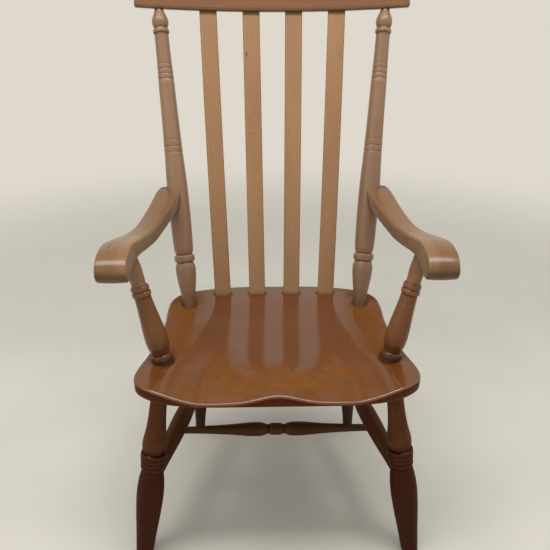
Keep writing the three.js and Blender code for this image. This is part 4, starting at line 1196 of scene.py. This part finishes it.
def makeShaveLath():
    # a flat lath swept along its bowed line, with softened edges
    tree, put, made = newTree("shaveLath", "GeometryNodeTree", {
        "Start Mesh": "Geometry", "Foot": "Vector", "Head": "Vector", "Face": "Vector",
        "Width": "Float", "Thickness": "Float", "Rounding": "Float", "Bow": "Float",
        "Foot Tenon": "Float", "Head Tenon": "Float", "Steps": "Int", "Grain Start": "Vector",
        "Crisp Angle": "Float", "Wood": "Material"}, {"Piece": "Geometry"})
    run = vectorNode(tree, "SUBTRACT", put["Head"], put["Foot"])
    unit = vectorNode(tree, "NORMALIZE", run)

    def alongUnit(length):
        return addNode(tree, "ShaderNodeVectorMath", {0: unit, "Scale": length}, operation="SCALE")[0]

    line = addNode(tree, "GeometryNodeCurvePrimitiveLine", {
        "Start": vectorNode(tree, "SUBTRACT", put["Foot"], alongUnit(put["Foot Tenon"])),
        "End": vectorNode(tree, "ADD", put["Head"], alongUnit(put["Head Tenon"]))})[0]
    line = addNode(tree, "GeometryNodeResampleCurve", {"Curve": line, "Count": put["Steps"]})[0]
    where = addNode(tree, "GeometryNodeInputPosition", {})[0]
    climbed = vectorNode(tree, "DOT_PRODUCT", vectorNode(tree, "SUBTRACT", where, put["Foot"]), run)
    share = mathNode(tree, "DIVIDE", climbed, vectorNode(tree, "DOT_PRODUCT", run, run), True)
    belly = times(tree, mathNode(tree, "SINE", times(tree, share, math.pi)), put["Bow"])
    offset = addNode(tree, "ShaderNodeCombineXYZ", {1: times(tree, belly, -1.0)})[0]
    line = addNode(tree, "GeometryNodeSetPosition", {"Geometry": line, "Offset": offset})[0]
    line = addNode(tree, "GeometryNodeSetCurveNormal", {
        "Curve": line, "Normal": put["Face"]}, mode="FREE")[0]
    length = addNode(tree, "GeometryNodeSplineParameter", {})["Length"]
    swept = captureNode(tree, line, "Along", length, "FLOAT")
    section = addNode(tree, "GeometryNodeCurvePrimitiveQuadrilateral", {
        "Width": put["Thickness"], "Height": put["Width"]})[0]
    section = addNode(tree, "GeometryNodeFilletCurve", {
        "Curve": section, "Radius": put["Rounding"], "Count": lathLook["roundingSteps"]}, mode="POLY")[0]
    profile = captureNode(tree, section, "Across", where, "VECTOR")
    body = addNode(tree, "GeometryNodeCurveToMesh", {
        "Curve": swept["Geometry"], "Profile Curve": profile["Geometry"], "Fill Caps": True})[0]
    across = addNode(tree, "ShaderNodeSeparateXYZ", {0: profile["Across"]})
    joined = addNode(tree, "ShaderNodeCombineXYZ", {0: across[1], 1: across[0], 2: swept["Along"]})[0]
    grain = vectorNode(tree, "ADD", joined, put["Grain Start"])
    body = storeNode(tree, body, "grain", grain, "FLOAT_VECTOR")
    # darker along both long edges of the lath
    outward = mathNode(tree, "DIVIDE", mathNode(tree, "ABSOLUTE", across[1]), put["Width"])
    body = storeNode(tree, body, "wearAndPaintedLight", rangeNode(tree, outward, lathLook["darkEdgeFrom"], 0.5))
    # the lath darkens near the seat and the crest: grime and painted shade
    above = minus(tree, swept["Along"], put["Foot Tenon"])
    under = minus(tree, vectorNode(tree, "LENGTH", run), above)
    dirtAndShade = [rangeNode(tree, gap, 0.0, lathLook["grimeAndShadeReach"], 1.0, 0.0) for gap in (above, under)]
    body = storeNode(tree, body, "grimeAndPaintedShade", mathNode(tree, "MAXIMUM", *dirtAndShade))
    closeTree(tree, body, put, made)
    return tree


shaveLath = makeShaveLath()
outermost = lathLook["places"][-1]
for number, spot in enumerate(lathLook["places"], 1):
    outer = (abs(spot) - 0.5) / (outermost - 0.5)
    low = Vector((spot * lathLook["seatSpacing"], -lathLook["backInset"] - lathLook["sweep"] * outer,
                  seatLook["top"]))
    high = crestPoint(spot * lathLook["crestSpacing"], 0.5, 0)
    angle = math.asin(spot * lathLook["crestSpacing"] / crestRadius)
    across = Vector((math.cos(angle), -math.sin(angle), 0))
    piece = runTree("lath" + str(number), bpy.data.meshes.new("lathStart"), shaveLath, {
        "Foot": place(low), "Head": place(high), "Face": (high - low).normalized().cross(across),
        "Width": lathLook["width"] * mm, "Thickness": lathLook["thickness"] * mm,
        "Rounding": lathLook["rounding"] * mm, "Bow": lathLook["bow"] * mm,
        "Foot Tenon": lathLook["seatTenon"] * mm, "Head Tenon": lathLook["crestTenon"] * mm,
        "Grain Start": Vector([number * step for step in lathLook["grainSteps"]]),
        "Steps": lathLook["steps"], "Crisp Angle": lathLook["crispAngle"], "Wood": woods["lathWood"]})
    settle(piece, "lath_" + str(number))
print("laths shaved")


# plugs, pegs and screws

plugLook = {"width": 10, "depth": 9, "proud": 0.25, "screwAim": 0.2}
pegLook = {"width": 7, "depth": 18, "height": 14, "proud": 0.4}
pegging = {"facets": 40, "chamfer": 0.4, "domeSteps": 6, "pole": 0.001}


def makePeg(name, node, inner, face, look):
    # a plain peg from its buried end to a slightly domed face
    half, chamfer, pole = look["width"] / 2, pegging["chamfer"], pegging["pole"]
    line = [(0, half - chamfer), (chamfer, half), (look["depth"], half)]
    for step in range(1, pegging["domeSteps"] + 1):
        turn = quarter * step / pegging["domeSteps"]
        line.append((look["depth"] + look["proud"] * math.sin(turn),
                     half * math.cos(turn) * (1 - pole) + pole))
    turnPiece(name, node, "pegWood", inner, face, line, pegging["facets"])


for hand, side in handed.items():
    root, share = armRoot(side)
    target = armMiddle(side, plugLook["screwAim"])
    direction = Vector((target.x - root.x, target.y - root.y, 0)).normalized()
    surface = root - direction * radiusAt(postLook, share)
    makePeg("screwPlug_" + hand, "screw_plug_" + hand, surface + direction * plugLook["depth"], surface,
            plugLook)
    back, front = (crestPoint(side * (halfCrest - crestLook["postInset"]), face, pegLook["height"])
                   for face in (1, 0))
    inward = (front - back).normalized()
    makePeg("crestPeg_" + hand, "crest_peg_" + hand, back + inward * pegLook["depth"], back, pegLook)
    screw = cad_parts["arm_screw_" + hand].data
    screw.materials.clear()
    screw.materials.append(screwSteel)
print("plugs and pegs fitted")


# floor, light and camera

roomLook = {
    "floor": "dcd8cc", "pale": "ded9cc", "mottle": "d8d4c8", "mottleScale": 3, "mottleRange": (0.3, 0.7),
    "roughness": 0.9, "specular": 0.2, "floorSize": 40.0, "fade": (1.1, 3.0), "ambient": 0.44,
    "ambientColour": (1.0, 0.985, 0.96, 1),
    # place, aim, width and depth, power
    "lamps": {
        "ceilingPanel": ((-0.1, -0.4, 2.5), (-0.1, -0.25, 0.5), (2.6, 0.6), 42.0),
        "windowLight": ((-2.0, -1.5, 1.9), (0, 0, 0.5), (2.2, 1.8), 8.0),
        "roomFill": ((2.1, -0.4, 1.9), (0, 0, 0.5), (2.0, 1.8), 5.0),
    },
}
cameraLook = {"place": (-0.02255, -1.06008, 1.05803), "down": 26.65, "turned": -1.23, "sensor": 36,
              "focus": 548.93, "picture": 550}


def raysSeen(tree, kinds):
    # 1 for rays of these kinds
    rays = addNode(tree, "ShaderNodeLightPath", {})
    seen = rays["Is " + kinds[0] + " Ray"]
    for kind in kinds[1:]:
        seen = mathNode(tree, "MAXIMUM", seen, rays["Is " + kind + " Ray"])
    return seen


def makeFloor():
    mesh = bpy.data.meshes.new("floor")
    half = roomLook["floorSize"]
    mesh.from_pydata([(-half, -half, 0), (half, -half, 0), (half, half, 0), (-half, half, 0)], [],
                     [(0, 1, 2, 3)])
    paper, tree, surface = newMaterial("floorPaper")
    spot = addNode(tree, "ShaderNodeTexCoord", {})["Object"]
    mottle = rangeNode(tree, noiseNode(tree, spot, roomLook["mottleScale"]), *roomLook["mottleRange"])
    fill(tree, surface.inputs, {
        "Base Color": mixNode(tree, mottle, paint(roomLook["floor"]), paint(roomLook["mottle"])),
        "Roughness": roomLook["roughness"], "Specular IOR Level": roomLook["specular"]})
    # far from the chair the floor shows the room's pale colour, so that no horizon is seen
    far = rangeNode(tree, vectorNode(tree, "LENGTH", spot), *roomLook["fade"])
    glow = addNode(tree, "ShaderNodeEmission", {"Color": paint(roomLook["pale"])})[0]
    seen = times(tree, far, raysSeen(tree, ("Camera", "Glossy")))
    both = addNode(tree, "ShaderNodeMixShader", {0: seen, 1: surface.outputs[0], 2: glow})[0]
    fill(tree, tree.nodes["Material Output"].inputs, {"Surface": both})
    mesh.materials.append(paper)
    stand("floor", mesh)


def makeRoomLight():
    world = bpy.data.worlds.new("paleRoom")
    bpy.context.scene.world = world
    world.use_nodes = True
    tree = world.node_tree
    tree.nodes.clear()
    soft = addNode(tree, "ShaderNodeBackground", {
        "Color": roomLook["ambientColour"], "Strength": roomLook["ambient"]})[0]
    pale = addNode(tree, "ShaderNodeBackground", {"Color": paint(roomLook["pale"]), "Strength": 1.0})[0]
    seen = raysSeen(tree, ("Camera", "Glossy", "Transmission"))
    both = addNode(tree, "ShaderNodeMixShader", {0: seen, 1: soft, 2: pale})[0]
    addNode(tree, "ShaderNodeOutputWorld", {0: both})


def makeLamp(name, spot, aim, size, power):
    lamp = bpy.data.lights.new(name, "AREA")
    lamp.shape = "RECTANGLE"
    lamp.size, lamp.size_y = size
    lamp.energy = power
    holder = stand(name, lamp)
    holder.location = spot
    holder.rotation_euler = (Vector(aim) - Vector(spot)).to_track_quat("-Z", "Y").to_euler()


def makeCamera(look):
    lens = bpy.data.cameras.new("photoCamera")
    lens.sensor_width = look["sensor"]
    lens.lens = look["sensor"] * look["focus"] / look["picture"]
    holder = stand("photoCamera", lens)
    holder.location = look["place"]
    holder.rotation_euler = (math.radians(90 - look["down"]), 0, math.radians(look["turned"]))
    bpy.context.scene.camera = holder


makeFloor()
makeRoomLight()
for name, lamp in roomLook["lamps"].items():
    makeLamp(name, *lamp)
makeCamera(cameraLook)
bpy.context.scene.view_settings.view_transform = "Standard"
print("room, lamps and camera set")
